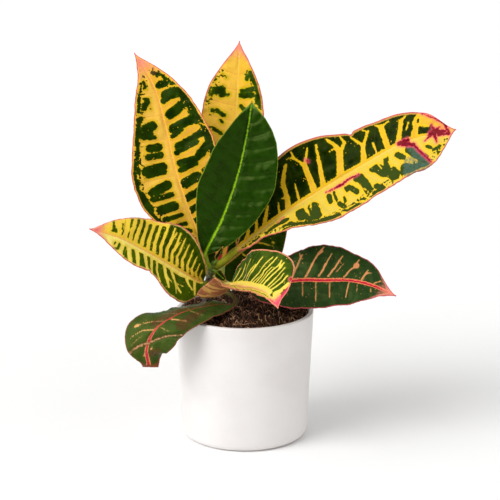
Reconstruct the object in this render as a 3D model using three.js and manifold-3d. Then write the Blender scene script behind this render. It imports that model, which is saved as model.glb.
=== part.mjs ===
// A potted croton: a plain tapered pot filled with soil, one short woody stem, nine
// patterned leaves and two small leaves at the crown.  Millimetres, +Z up, the origin
// at the middle of the pot's flat underside, the plant's front towards -Y.
import * as THREE from "three";
import { mergeVertices } from "three/addons/utils/BufferGeometryUtils.js";
import Module from "manifold-3d";

const wasm = await Module();
wasm.setup();

// ---------------------------------------------------------------- driving dimensions
const CLEARANCE = 0.3; // gap left between pieces that touch

const POT = {
  topRadius: 65,
  footRadius: 59.5,
  height: 122,
  wall: 4.5,
  floor: 6,
  footRounding: 7,
  rimRounding: 1.2,
  segments: 56,
};

const SOIL = {
  edgeHeight: 115, // where the soil meets the wall
  crownHeight: 124, // top of the mound round the stem
  rings: 6,
};

const STEM = {
  // foot in the soil, then up through the mound to the growing tip
  path: [[-37, 9, 84], [-36, 8, 112], [-35, 6, 134], [-32, 4, 152], [-27, 3, 168]],
  radii: [4.5, 5, 4.6, 4.6, 3.4],
  steps: 14,
  sides: 12,
};

const BLADE = {
  thickness: 1.6, // at the midrib
  marginThickness: 0.9,
  tipHalfWidth: 0.8,
  rows: 16,
  across: [-1, -0.6, -0.25, 0, 0.25, 0.6, 1], // right margin, midrib, left margin
};
const PETIOLE_ROWS = 5;

// Each leaf is described as it would be measured in the hand:
//   petiole   points from the stem to the blade, radius of the stalk in `stalk`
//   midrib    points from the blade's base to its tip
//   face      the way the upper side looks
//   left, right      half widths at even stations from base to tip
//   leftTilt, rightTilt   degrees that each half rises above the flat, at even stations
//   curl      degrees that the left and right halves bend from midrib to margin
const LEAVES = {
  leaf_upper_left: {
    stalk: 2.6, face: [0.1, -0.9, 0.3], curl: [20, 20],
    petiole: [[-33, 6, 151], [-35, 10, 161]],
    midrib: [[-40, 19, 178], [-54, 28, 213], [-66, 40, 248], [-75, 53, 284], [-86, 66, 320],
      [-105, 80, 352]],
    left: [2, 21, 36, 42, 42, 37, 32, 26, 19, 8, 0], leftTilt: [18, 6, 9, 15, 20],
    right: [2, 18, 32, 42, 46, 45, 39, 32, 21, 10, 0], rightTilt: [36, 25, 25, 22, 16],
  },
  leaf_upper_back: {
    stalk: 2.6, face: [0, -0.9, 0.4], curl: [15, 15],
    petiole: [[-33, 6, 143], [-25, 15, 143], [-22, 18, 149]],
    midrib: [[-21, 22, 160], [-14, 48, 219], [-9, 66, 265], [-7, 84, 312], [-5, 102, 360]],
    left: [5, 14, 18, 22, 26, 30, 33, 33, 27, 14, 0], leftTilt: [28, 20, 15, 10, 8],
    right: [2, 7, 12, 18, 23, 26, 27, 26, 21, 11, 0], rightTilt: [38, 24, 17, 13, 11],
  },
  leaf_front_green: {
    stalk: 2, face: [0, -0.95, 0.3], curl: [10, 10],
    petiole: [[-29, 3, 160], [-34, 1, 165]],
    midrib: [[-37, 0, 173], [-21, 3, 208], [-8, 10, 243], [1, 19, 279], [7, 30, 315]],
    left: [2, 14, 23, 29, 33, 33, 31, 27, 20, 11, 0], leftTilt: [4, 8, 18, 20, 24],
    right: [2, 14, 22, 29, 34, 37, 36, 33, 27, 16, 0], rightTilt: [16, 9, 10, 14, 18],
  },
  leaf_right: {
    stalk: 3.4, face: [-0.1, -0.7, 0.7], curl: [10, 10],
    petiole: [[-27, 3, 162], [-19, 3, 168]],
    midrib: [[-9, 5, 177], [29, 12, 205], [69, 12, 232], [108, 5, 258], [148, -5, 283],
      [193, -14, 297]],
    left: [2, 20, 34, 46, 50, 46, 36, 33, 30, 22, 0], leftTilt: [-8, 22, 19, 7, 12],
    right: [2, 20, 34, 41, 45, 46, 43, 40, 37, 31, 0], rightTilt: [10, 40, 19, 12, 4, -3],
  },
  leaf_left: {
    stalk: 2.4, face: [0.1, -0.6, 0.8], curl: [-20, -30],
    petiole: [[-34, 5, 146], [-36, 0, 147]],
    midrib: [[-38, -4, 148], [-63, -14, 165], [-88, -22, 182], [-113, -31, 198],
      [-141, -40, 210]],
    left: [9, 26, 29, 27, 21, 20, 20, 17, 12, 6, 0], leftTilt: [-18, -12, -1, -13, 4],
    right: [2, 17, 29, 35, 37, 32, 30, 24, 18, 9, 0], rightTilt: [68, 46, 26, 20, 13],
  },
  leaf_front_right: {
    stalk: 2.4, face: [0, 0, 1], curl: [15, 70],
    petiole: [[-31, 4, 154], [-23, -3, 152]],
    midrib: [[-15, -10, 149], [-3, -34, 155], [9, -60, 160], [20, -86, 163], [30, -108, 155]],
    left: [8, 20, 28, 33, 36, 38, 39, 38, 32, 19, 0],
    leftTilt: [62, 65, 65, 69, 64, 58, 53, 44, 42, 48, 54],
    right: [6, 39, 26, 20, 20, 18, 14, 11, 7, 3, 0],
    rightTilt: [-12, -8, 20, 6, 4, 2, 0, -6, -12, -20, -20],
  },
  leaf_lower_right: {
    stalk: 2, face: [0, -0.6, 0.8], curl: [-10, -15],
    petiole: [[-32, 4, 148], [-18, 0, 147]],
    midrib: [[-1, -4, 145], [35, -9, 151], [71, -15, 154], [107, -21, 154], [140, -32, 144]],
    left: [2, 15, 23, 28, 34, 36, 34, 28, 20, 8, 0], leftTilt: [12, 8, 17, 13, 18],
    right: [2, 19, 25, 29, 30, 29, 27, 25, 20, 9, 0], rightTilt: [2, -4, -9, -9, 0],
  },
  leaf_lower_left: {
    stalk: 2.2, face: [-0.1, -0.4, 0.9], curl: [-10, -10],
    petiole: [[-34, 5, 139], [-21, -3, 140], [-11, -9, 137]],
    midrib: [[-8, -14, 132], [-26, -26, 134], [-44, -38, 134], [-62, -50, 131],
      [-79, -58, 122], [-89, -61, 104], [-88, -56, 83]],
    left: [2, 9, 14, 18, 21, 21, 23, 24, 21, 16, 9], leftTilt: [-16, -8, -8, -20, -24, -10],
    right: [2, 8, 14, 18, 21, 22, 24, 26, 26, 17, 7],
    rightTilt: [-25, -27, -24, -14, 16, 10],
  },
  leaf_back_right: {
    stalk: 2, face: [-0.3, -0.6, 0.7], curl: [10, 10],
    petiole: [[-32, 8, 149], [-31, 16, 149]],
    midrib: [[-27, 24, 151], [5, 51, 171], [30, 75, 191], [50, 102, 215]],
    left: [19, 29, 31, 29, 27, 25, 23, 20, 16, 9, 0], leftTilt: [24, 36, 40],
    right: [14, 31, 36, 35, 32, 27, 20, 13, 8, 4, 0], rightTilt: [-44, -28, -45],
  },
  leaf_crown_upper: {
    stalk: 0.9, face: [0, -0.9, 0.3], curl: [10, 10], rows: 8,
    petiole: [[-28, 2, 165]],
    midrib: [[-27, -7, 170], [-23, -8, 177], [-20, -8, 185]],
    left: [1, 3.5, 4, 3, 0], leftTilt: [40, 36, 35],
    right: [1, 3, 3, 2, 0], rightTilt: [24, 34, 39],
  },
  leaf_crown_lower: {
    stalk: 0.9, face: [0, -0.8, 0.5], curl: [10, 10], rows: 8,
    petiole: [[-30, 4, 158]],
    midrib: [[-28, -5, 161], [-23, -8, 157], [-17, -11, 152]],
    left: [1, 4.5, 4, 3, 0], leftTilt: [36, 34, 36],
    right: [1, 4, 4, 3, 0], rightTilt: [6, 1, 3],
  },
};

const FINISH = {
  pot: { color: 0xece8e5, roughness: 0.6 },
  soil: { color: 0x2e1c12, roughness: 1.0 },
  stem: { color: 0x8d8270, roughness: 0.8 },
  leaf: { color: 0x4c7a22, roughness: 0.4 },
};

// ---------------------------------------------------------------- curves and values
const vector = ([x, y, z]) => new THREE.Vector3(x, y, z);
const smoothCurve = (points) => new THREE.CatmullRomCurve3(points.map(vector), false, "centripetal");

// A smooth value through numbers given at even stations from 0 to 1.
function valueAt(values, station) {
  const last = values.length - 1;
  const points = values.map((value, index) => new THREE.Vector2(index / last, value));
  return new THREE.SplineCurve(points).getPoint(station).y;
}

// The direction of `facing` made square to the curve, and the direction to its left.
function crossAxes(tangent, facing) {
  const up = vector(facing);
  up.addScaledVector(tangent, -up.dot(tangent)).normalize();
  return { up, left: new THREE.Vector3().crossVectors(up, tangent) };
}

// ---------------------------------------------------------------- solids
// A closed skin over rings of equal length, with a fan of triangles over each end.
// Each ring turns clockwise as seen from the far end of the path.
function loft(rings) {
  const count = rings[0].length;
  const corners = rings.flat();
  const faces = [];
  for (let ring = 0; ring + 1 < rings.length; ring += 1) {
    for (let side = 0; side < count; side += 1) {
      const a = ring * count + side;
      const b = ring * count + ((side + 1) % count);
      faces.push(a, b + count, b, a, a + count, b + count);
    }
  }
  const top = (rings.length - 1) * count;
  for (let side = 1; side + 1 < count; side += 1) {
    faces.push(0, side, side + 1);
    faces.push(top, top + side + 1, top + side);
  }
  const geometry = new THREE.BufferGeometry().setFromPoints(corners);
  geometry.setIndex(faces);
  return geometry;
}

// A profile of radius and height turned about the Z axis.
function turned(profile, segments) {
  const points = profile.map(([radius, height]) => new THREE.Vector2(radius, height));
  return new THREE.LatheGeometry(points, segments).rotateX(Math.PI / 2);
}

// A rounded corner as points from one angle to another, in degrees.
function corner(radius, height, rounding, from, to, steps) {
  const points = [];
  for (let step = 0; step <= steps; step += 1) {
    const angle = THREE.MathUtils.degToRad(from + ((to - from) * step) / steps);
    points.push([radius + rounding * Math.cos(angle), height + rounding * Math.sin(angle)]);
  }
  return points;
}

function toManifold(geometry) {
  const plain = geometry.clone();
  plain.deleteAttribute("normal");
  plain.deleteAttribute("uv");
  const merged = mergeVertices(plain, 1e-4);
  return new wasm.Manifold(new wasm.Mesh({
    numProp: 3,
    vertProperties: new Float32Array(merged.getAttribute("position").array),
    triVerts: new Uint32Array(merged.index.array),
  }));
}

function toGeometry(manifold) {
  const mesh = manifold.getMesh();
  const geometry = new THREE.BufferGeometry();
  geometry.setAttribute("position", new THREE.BufferAttribute(mesh.vertProperties, 3));
  geometry.setIndex(new THREE.BufferAttribute(mesh.triVerts, 1));
  return geometry;
}

// ---------------------------------------------------------------- pot
// The wall leans out in a straight line from the foot to the rim.
function outerRadiusAt(height) {
  return POT.footRadius + ((POT.topRadius - POT.footRadius) * height) / POT.height;
}

function potGeometry() {
  const inner = (height) => outerRadiusAt(height) - POT.wall;
  const rim = POT.rimRounding;
  const rimHeight = POT.height - rim;
  return turned([
    [0, 0],
    ...corner(POT.footRadius - POT.footRounding, POT.footRounding, POT.footRounding, -90, 0, 5),
    ...corner(POT.topRadius - rim, rimHeight, rim, 0, 90, 3),
    ...corner(inner(POT.height) + rim, rimHeight, rim, 90, 180, 3),
    [inner(POT.floor + POT.footRounding), POT.floor + POT.footRounding],
    [inner(POT.floor) - POT.footRounding / 2, POT.floor],
    [0, POT.floor],
  ], POT.segments);
}

// ---------------------------------------------------------------- stem
// With `room`, the stem is that much thicker and longer at each end.
function stemGeometry(room) {
  const curve = smoothCurve(STEM.path);
  const rings = [];
  for (let step = 0; step <= STEM.steps; step += 1) {
    const station = step / STEM.steps;
    const tangent = curve.getTangentAt(station);
    const { up, left } = crossAxes(tangent, [0, -1, 0]);
    const centre = curve.getPointAt(station).addScaledVector(tangent, room * (2 * station - 1));
    const radius = valueAt(STEM.radii, station) + room;
    rings.push(Array.from({ length: STEM.sides }, (_, side) => {
      const angle = (2 * Math.PI * side) / STEM.sides;
      return centre.clone()
        .addScaledVector(left, -radius * Math.cos(angle))
        .addScaledVector(up, radius * Math.sin(angle));
    }));
  }
  return loft(rings);
}

// ---------------------------------------------------------------- soil
// Fills the pot to a low mound, with a hole where the stem stands in it.
function soilGeometry(stemRoom) {
  const wallAt = (height) => outerRadiusAt(height) - POT.wall - CLEARANCE;
  const bottom = POT.floor + CLEARANCE;
  const edgeRadius = wallAt(SOIL.edgeHeight);
  const mound = [];
  for (let ring = 0; ring <= SOIL.rings; ring += 1) {
    const out = 1 - ring / SOIL.rings;
    const rise = (1 + Math.cos(Math.PI * out)) / 2;
    mound.push([edgeRadius * out, SOIL.edgeHeight + (SOIL.crownHeight - SOIL.edgeHeight) * rise]);
  }
  const filled = turned([
    [0, bottom],
    [wallAt(bottom) - POT.footRounding / 2 - CLEARANCE, bottom],
    [wallAt(bottom + POT.footRounding), bottom + POT.footRounding],
    ...mound,
  ], POT.segments);
  return toGeometry(toManifold(filled).subtract(stemRoom));
}

// ---------------------------------------------------------------- leaves
// One half's cross section is an arc: it leaves the midrib at one slope and bends
// evenly by `curl` on its way to the margin, so its chord rises by `tilt`.
function halfSection(tilt, curl, width, out) {
  const bend = Math.abs(curl) < 1e-3 ? 1e-3 : curl;
  const start = tilt - bend / 2;
  const slope = start + bend * out;
  const reach = (width * (bend / 2)) / Math.sin(bend / 2) / bend;
  return {
    aside: reach * (Math.sin(slope) - Math.sin(start)),
    above: reach * (Math.cos(start) - Math.cos(slope)),
    slope,
  };
}

// One closed ring round the blade: the upper side from the right margin to the left,
// then the underside back, which is deeper along the midrib.
function bladeRing(leaf, midrib, station) {
  const centre = midrib.getPointAt(station);
  const { up, left } = crossAxes(midrib.getTangentAt(station), leaf.face);
  const ribDepth = leaf.stalk * (1 - station);
  const upper = [];
  const lower = [];
  BLADE.across.forEach((across) => {
    const side = across < 0 ? "right" : "left";
    const sign = Math.sign(across);
    const width = Math.max(valueAt(leaf[side], station), BLADE.tipHalfWidth);
    const tilt = THREE.MathUtils.degToRad(valueAt(leaf[`${side}Tilt`], station));
    const curl = THREE.MathUtils.degToRad(leaf.curl[side === "left" ? 0 : 1]);
    const section = halfSection(tilt, curl, width, Math.abs(across));
    const middle = centre.clone()
      .addScaledVector(left, sign * section.aside)
      .addScaledVector(up, section.above);
    const normal = up.clone().multiplyScalar(Math.cos(section.slope))
      .addScaledVector(left, -sign * Math.sin(section.slope));
    if (across === 0) normal.copy(up);
    const half = THREE.MathUtils.lerp(BLADE.thickness, BLADE.marginThickness, Math.abs(across)) / 2;
    const below = across === 0 ? half + ribDepth : half;
    upper.push(middle.clone().addScaledVector(normal, half));
    lower.push(middle.clone().addScaledVector(normal, -below));
  });
  return [...upper, ...lower.reverse()];
}

// One closed ring round the stalk, with its corners in the order of a blade ring's.
function petioleRing(leaf, curve, station) {
  const centre = curve.getPointAt(station);
  const { up, left } = crossAxes(curve.getTangentAt(station), leaf.face);
  const corners = 2 * BLADE.across.length;
  return Array.from({ length: corners }, (_, index) => {
    const angle = Math.PI - (2 * Math.PI * (index + 0.5)) / corners;
    return centre.clone()
      .addScaledVector(left, leaf.stalk * Math.cos(angle))
      .addScaledVector(up, leaf.stalk * Math.sin(angle));
  });
}

// The stalk starts inside the stem and is cut back to it, less the clearance.
function leafGeometry(leaf, stemRoom) {
  const midrib = smoothCurve(leaf.midrib);
  const petiole = smoothCurve([...leaf.petiole, leaf.midrib[0]]);
  const rows = leaf.rows ?? BLADE.rows;
  const rings = [];
  for (let row = 0; row < PETIOLE_ROWS; row += 1) {
    rings.push(petioleRing(leaf, petiole, row / PETIOLE_ROWS));
  }
  for (let row = 0; row <= rows; row += 1) {
    rings.push(bladeRing(leaf, midrib, row / rows));
  }
  return toGeometry(toManifold(loft(rings)).subtract(stemRoom));
}

// ---------------------------------------------------------------- assembly
function piece(name, geometry, finish) {
  const material = new THREE.MeshStandardMaterial({ ...finish, metalness: 0 });
  const mesh = new THREE.Mesh(geometry, material);
  mesh.name = name;
  return mesh;
}

const stemRoom = toManifold(stemGeometry(CLEARANCE));

const croton = new THREE.Group();
croton.add(piece("pot", potGeometry(), FINISH.pot));
croton.add(piece("soil", soilGeometry(stemRoom), FINISH.soil));
croton.add(piece("main_stem", stemGeometry(0), FINISH.stem));
for (const [name, leaf] of Object.entries(LEAVES)) {
  croton.add(piece(name, leafGeometry(leaf, stemRoom), FINISH.leaf));
}

export default croton;
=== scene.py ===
# %% [markdown]
# # A potted croton
# A croton is a house plant with thick, waxy leaves in yellow, green and red.  This one is
# young: one short woody stem in a plain white pot, nine big leaves and two small ones.
# The lesson builds the pot, the soil and its fibres, the stem, and then every leaf from
# one formula.  The model from the workshop sets every place and size.  We only give each
# part the fine surface and the finish that it has in life.

import bpy
import numpy as np
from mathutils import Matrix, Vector


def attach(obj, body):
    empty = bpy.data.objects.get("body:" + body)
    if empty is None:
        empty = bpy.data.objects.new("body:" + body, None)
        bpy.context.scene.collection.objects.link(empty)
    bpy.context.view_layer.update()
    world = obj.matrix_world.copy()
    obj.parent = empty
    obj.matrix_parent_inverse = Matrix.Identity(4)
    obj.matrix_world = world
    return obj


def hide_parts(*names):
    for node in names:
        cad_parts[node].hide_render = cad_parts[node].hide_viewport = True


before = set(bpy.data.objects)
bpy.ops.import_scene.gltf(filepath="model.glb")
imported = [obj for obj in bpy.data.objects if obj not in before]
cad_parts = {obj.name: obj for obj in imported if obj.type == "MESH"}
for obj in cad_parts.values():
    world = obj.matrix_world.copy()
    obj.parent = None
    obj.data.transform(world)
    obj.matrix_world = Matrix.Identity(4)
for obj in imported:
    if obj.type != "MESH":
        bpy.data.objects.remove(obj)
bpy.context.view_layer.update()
MM = 0.001  # all our tables are in millimetres, and Blender works in metres
print("nodes to dress:", ", ".join(sorted(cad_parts)))

# %% [markdown]
# ## Smooth curves from a few points
# A stalk or a midrib is one flowing line.  We could bend a Blender curve object, but the
# leaf formula below needs positions and directions as arrays, so we work the curve out
# ourselves.  The square root of each gap sets how strongly a point pulls on its
# neighbours, which keeps the line from overshooting where points crowd together.

# %% Curve helpers
def smooth_path(points, per_leg=60):
    """Each leg between two points is a cubic.  Its slope at a point comes from the two
    neighbouring points, weighted by the square roots of the gaps between them."""
    points = np.asarray(points, float)
    lead_in, lead_out = 2 * points[:1] - points[1:2], 2 * points[-1:] - points[-2:-1]
    knots = np.concatenate([lead_in, points, lead_out])
    share = np.linspace(0, 1, per_leg, endpoint=False)[:, None]
    legs = []
    for before, start, stop, after in zip(knots, knots[1:], knots[2:], knots[3:]):
        gap_in, gap, gap_out = (np.sqrt(np.linalg.norm(b - a))
                                for a, b in ((before, start), (start, stop), (stop, after)))
        leave = ((start - before) / gap_in - (stop - before) / (gap_in + gap)) * gap
        arrive = ((after - stop) / gap_out - (after - start) / (gap + gap_out)) * gap
        leave, arrive = leave + stop - start, arrive + stop - start
        bend = 3 * (stop - start) - 2 * leave - arrive
        twist = leave + arrive - 2 * (stop - start)
        legs.append(start + leave * share + bend * share**2 + twist * share**3)
    return np.concatenate(legs + [points[-1:]])


def lengths_along(path):
    """The distance walked from the start to each point of a path."""
    return np.concatenate([[0], np.cumsum(np.linalg.norm(np.diff(path, axis=0), axis=1))])


def at_distances(path, values, distances):
    """Rows of `values`, one for each point of the path, read off at distances along it."""
    walked = lengths_along(path)
    return np.stack([np.interp(distances, walked, column) for column in values.T], axis=-1)


def at_stations(values, stations):
    """A smooth value through numbers at even stations from 0 to 1: between two of them it
    is the cubic whose slopes are half the difference of each one's neighbours."""
    values = np.asarray(values, float)
    last = len(values) - 1
    padded = np.concatenate([values[:1], values, values[-1:]])
    place = np.clip(stations, 0, 1) * last
    leg = np.minimum(place.astype(int), last - 1)
    share = place - leg
    before, start, stop, after = (padded[leg + shift] for shift in range(4))
    slope_in, slope_out = (stop - before) / 2, (after - start) / 2
    bend = 3 * (stop - start) - 2 * slope_in - slope_out
    twist = slope_in + slope_out - 2 * (stop - start)
    return start + slope_in * share + bend * share**2 + twist * share**3


def unit(vectors):
    """Each vector divided by its own length."""
    return vectors / np.linalg.norm(vectors, axis=-1, keepdims=True)


def ease(value, low, high):
    """0 up to `low`, 1 from `high` on, and in between 3t² - 2t³, which starts and ends
    level.  Where `low` is the larger of the two, it rises as the value falls."""
    share = np.clip((value - low) / (high - low), 0, 1)
    return share**2 * (3 - 2 * share)


def waves(points, seed, length, count=24):
    """A soft random landscape of about -1 to 1: the sum of sine waves of random direction,
    phase and a wavelength near `length`."""
    draw = np.random.default_rng(seed)
    directions = unit(draw.normal(size=(count, points.shape[-1])))
    pitch = 2 * np.pi / (length * draw.uniform(0.6, 1.6, count))
    phases = draw.uniform(0, 2 * np.pi, count)
    return np.sin(points @ directions.T * pitch + phases).sum(axis=-1) / np.sqrt(count)


def layered_waves(points, layers):
    """Landscapes added up, one for each layer's (height, seed, wavelength)."""
    return sum(height * waves(points, seed, length) for height, seed, length in layers)

# %% [markdown]
# ## From rings of points to a mesh
# Almost every part here is a skin over rings: the pot, the soil, the stem and the leaves.
# We lay the rings out as one array and give the faces by arithmetic on the point numbers.
# That is quicker than adding faces one at a time with bmesh, and it can't leave a hole.

# %% Mesh helpers
def add_piece(name, points, faces, materials, attributes=None):
    """Makes a smooth-shaded mesh object of points in millimetres.  `attributes` holds a
    number, or a vector, for each point, which the materials read by name."""
    mesh = bpy.data.meshes.new(name)
    mesh.from_pydata((points.reshape(-1, 3) * MM).tolist(), [], faces)
    mesh.polygons.foreach_set("use_smooth", np.ones(len(mesh.polygons), bool))
    for key, values in (attributes or {}).items():
        kind, field = ("FLOAT_VECTOR", "vector") if values.shape[-1] == 3 else ("FLOAT", "value")
        data = mesh.attributes.new(key, kind, "POINT").data
        data.foreach_set(field, values.astype(np.float32).ravel())
    for material in materials:
        mesh.materials.append(material)
    mesh.validate()
    mesh.update()
    piece = bpy.data.objects.new(name, mesh)
    bpy.context.scene.collection.objects.link(piece)
    print(f"{name}: {len(mesh.vertices)} points, {len(mesh.polygons)} faces")
    return piece


def ring_faces(rings, count):
    """Quads between neighbouring rings of `count` points.  They face outwards where a ring
    turns clockwise as seen from the path's far end."""
    ring, side = np.meshgrid(np.arange(rings - 1), np.arange(count), indexing="ij")
    here = ring * count + side
    beside = ring * count + (side + 1) % count
    return np.stack([here, here + count, beside + count, beside], axis=-1).reshape(-1, 4).tolist()


def stand_for(piece, node):
    """The piece takes the place of one CAD node and moves with the plant."""
    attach(piece, "root")
    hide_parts(node)

# %% [markdown]
# ## Short words for shader nodes
# Blender's materials are graphs of nodes.  Written out, each node takes five lines, and
# the recipe gets lost.  These few helpers let a recipe read like one: `fade` turns a
# measure into a mask, `blend` lays one colour over another, `grain` is soft noise.

# %% Shader helpers
def colour(red, green, blue):
    """A colour picked on a 0 to 255 screen scale, as the linear light the shader wants."""
    screen = np.array([red, green, blue]) / 255
    light = np.where(screen <= 0.04045, screen / 12.92, ((screen + 0.055) / 1.055) ** 2.4)
    return (*light.tolist(), 1.0)


class Recipe:
    """A material with one Principled shader, and short calls that add nodes to it."""

    def __init__(self, name, **sockets):
        self.material = bpy.data.materials.new(name)
        self.material.use_nodes = True
        self.tree = self.material.node_tree
        self.shader = self.tree.nodes["Principled BSDF"]
        for key, value in sockets.items():
            self.feed(self.shader.inputs[key.replace("_", " ")], value)

    def feed(self, socket, value):
        """Links a node's output to a socket, or sets the socket to a constant."""
        if isinstance(value, bpy.types.NodeSocket):
            self.tree.links.new(value, socket)
        else:
            socket.default_value = value

    def node(self, kind, feeds, **settings):
        """Adds a node, sets its menus, and feeds its sockets by place or by name."""
        node = self.tree.nodes.new("ShaderNode" + kind)
        for key, value in settings.items():
            setattr(node, key, value)
        for key, value in feeds.items():
            self.feed(node.inputs[key], value)
        return node

    def measure(self, name):
        """A number that each point of the mesh carries."""
        return self.node("Attribute", {}, attribute_name=name).outputs["Fac"]

    def place(self, name):
        """A vector that each point of the mesh carries, or its position for "object"."""
        if name == "object":
            return self.node("TexCoord", {}).outputs["Object"]
        return self.node("Attribute", {}, attribute_name=name).outputs["Vector"]

    def maths(self, operation, first, second=0.0):
        """One sum: ADD, SUBTRACT, MULTIPLY or ABSOLUTE."""
        return self.node("Math", {0: first, 1: second}, operation=operation).outputs[0]

    def plus(self, first, second):
        """first + second"""
        return self.maths("ADD", first, second)

    def times(self, first, second):
        """first · second, which also keeps only what two masks share."""
        return self.maths("MULTIPLY", first, second)

    def fade(self, value, low, high, start=0.0, stop=1.0):
        """A smooth step from `start` to `stop` as the value goes, up or down, from `low`
        to `high`."""
        ends = {"From Min": low, "From Max": high, "To Min": start, "To Max": stop}
        feeds = {"Value": value, **ends}
        return self.node("MapRange", feeds, interpolation_type="SMOOTHSTEP").outputs["Result"]

    def grain(self, place, scale, detail=2.0, roughness=0.5):
        """Soft cloudy noise, from about 0.3 to 0.7."""
        feeds = {"Vector": place, "Scale": scale, "Detail": detail, "Roughness": roughness}
        return self.node("TexNoise", feeds).outputs["Fac"]

    def stretch(self, place, factors):
        """Packs the noise tighter along the axes with a factor over one."""
        return self.node("VectorMath", {0: place, 1: factors}, operation="MULTIPLY").outputs[0]

    def wander(self, noise, size):
        """Noise turned into a shift to either side of zero."""
        return self.times(self.maths("SUBTRACT", noise, 0.5), size)

    def cells(self, place, scale, feature="F1"):
        """The distance to the nearest of many scattered seeds, or to a cell's edge."""
        feeds = {"Vector": place, "Scale": scale}
        return self.node("TexVoronoi", feeds, feature=feature).outputs["Distance"]

    def blend(self, mask, under, over, mode="MIX"):
        """Lays the colour `over` on `under` where the mask is 1."""
        node = self.node("Mix", {0: mask, 6: under, 7: over}, data_type="RGBA", blend_type=mode)
        return node.outputs[2]

    def finish(self, base, roughness, height, strength, depth):
        """Feeds the shader.  The bump is `depth` millimetres deep, at a share `strength`."""
        self.feed(self.shader.inputs["Base Color"], base)
        self.feed(self.shader.inputs["Roughness"], roughness)
        bump = self.node("Bump", {"Height": height, "Strength": strength, "Distance": depth * MM})
        self.feed(self.shader.inputs["Normal"], bump.outputs["Normal"])
        return self.material

# %% [markdown]
# ## The pot
# A plain tapered pot, cast in one piece with a soft rim and a rounded foot.  It could be a
# cylinder with bevels, but a turned profile is how a potter thinks: one outline, spun
# round the axis.  The outline's corners are arcs, so the light rolls over them.

# %% Shape of the pot
POT = {
    "top_radius": 65,
    "foot_radius": 59.5,
    "height": 122,
    "wall": 4.5,
    "floor": 6,
    "foot_rounding": 7,
    "rim_rounding": 1.2,
}
POT_SIDES = 200


def outer_radius(height):
    """The wall leans out in a straight line from the foot to the rim."""
    return POT["foot_radius"] + (POT["top_radius"] - POT["foot_radius"]) * height / POT["height"]


def arc(radius, height, rounding, start, stop, steps=10):
    """Points on a circle of the size `rounding`, between two angles in degrees."""
    angles = np.radians(np.linspace(start, stop, steps))
    offsets = rounding * np.stack([np.cos(angles), np.sin(angles)], axis=-1)
    return np.array([radius, height]) + offsets


def straight(start, stop, steps=24):
    """Evenly spaced points of a straight stretch, without its two ends."""
    share = np.linspace(0, 1, steps + 2)[1:-1, None]
    return np.asarray(start) * (1 - share) + np.asarray(stop) * share


def spin(profile, sides):
    """Rings of points: each (radius, height) of the profile turned about the Z axis."""
    angles = np.linspace(0, 2 * np.pi, sides, endpoint=False)
    radius, height = profile[:, :1], profile[:, 1:]
    level = np.broadcast_to(height, (len(profile), sides))
    return np.stack([radius * np.cos(angles), radius * np.sin(angles), level], axis=-1)


def turned_piece(name, profile, sides, materials, reshape=None):
    """A closed turned solid.  The profile starts and ends near the axis, and a single
    point closes each end.  `reshape` may move the rings before they become a mesh."""
    rings = spin(profile, sides)
    if reshape is not None:
        rings = reshape(rings)
    ends = np.array([rings[0].mean(axis=0), rings[-1].mean(axis=0)])
    count = len(profile) * sides
    side = np.arange(sides)
    beside = (side + 1) % sides
    last = count - sides
    bottom = np.stack([beside, side, np.full(sides, count)], axis=-1)
    top = np.stack([last + side, last + beside, np.full(sides, count + 1)], axis=-1)
    wall = [face[::-1] for face in ring_faces(len(profile), sides)]
    points = np.concatenate([rings.reshape(-1, 3), ends])
    return add_piece(name, points, wall + bottom.tolist() + top.tolist(), materials)


def pot_profile():
    """Up the outside, over the rim, and down the inside to the middle of the floor."""
    foot, rim = POT["foot_rounding"], POT["rim_rounding"]
    shoulder = POT["height"] - rim
    inner_top = outer_radius(POT["height"]) - POT["wall"]
    inner_foot = outer_radius(POT["floor"]) - POT["wall"]
    return np.concatenate([
        straight((0, 0), (POT["foot_radius"] - foot, 0), 12),
        arc(POT["foot_radius"] - foot, foot, foot, -90, 0),
        straight((POT["foot_radius"], foot), (POT["top_radius"], shoulder)),
        arc(POT["top_radius"] - rim, shoulder, rim, 0, 90),
        arc(inner_top + rim, shoulder, rim, 90, 180),
        straight((inner_top, shoulder), (inner_foot, POT["floor"] + foot), 16),
        arc(inner_foot - foot, POT["floor"] + foot, foot, 0, -90),
        straight((inner_foot - foot, POT["floor"]), (0, POT["floor"]), 8),
    ])

# %% [markdown]
# The pot is matt and slightly warm.  Real ones are never one flat white: the cast surface
# has a fine tooth, faint clouds of tone, and a few dark grains of clay under the slip.

# %% Finish of the pot
def pot_finish():
    """Warm white with soft clouds, sparse grains and a fine tooth."""
    recipe = Recipe("matt_white_ceramic", Specular_IOR_Level=0.35)
    place = recipe.place("object")
    clouds = recipe.fade(recipe.grain(place, 22, 4), 0.35, 0.65)
    base = recipe.blend(clouds, colour(231, 227, 225), colour(236, 233, 231))
    grains = recipe.fade(recipe.cells(place, 420), 0.10, 0.05)
    sparse = recipe.fade(recipe.grain(place, 130, 1), 0.60, 0.66)
    specks = recipe.times(recipe.times(grains, sparse), 0.35)
    base = recipe.blend(specks, base, colour(178, 166, 156))
    tooth = recipe.grain(place, 1600, 3, 0.6)
    roughness = recipe.fade(clouds, 0, 1, 0.50, 0.60)
    return recipe.finish(base, roughness, tooth, 0.12, 0.12)


pot = turned_piece("pot_cast", pot_profile(), POT_SIDES, [pot_finish()])
stand_for(pot, "pot")

# %% [markdown]
# ## The soil
# Potting mix is crumbs of peat held together by coconut fibre, mounded a little round the
# stem.  A flat disc with a bump texture would look painted on, so the mound is a real
# surface: the workshop's smooth mound, a little higher at the back, plus waves of four
# sizes.  They die away at the wall, so no crumb pushes through the pot.

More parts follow.
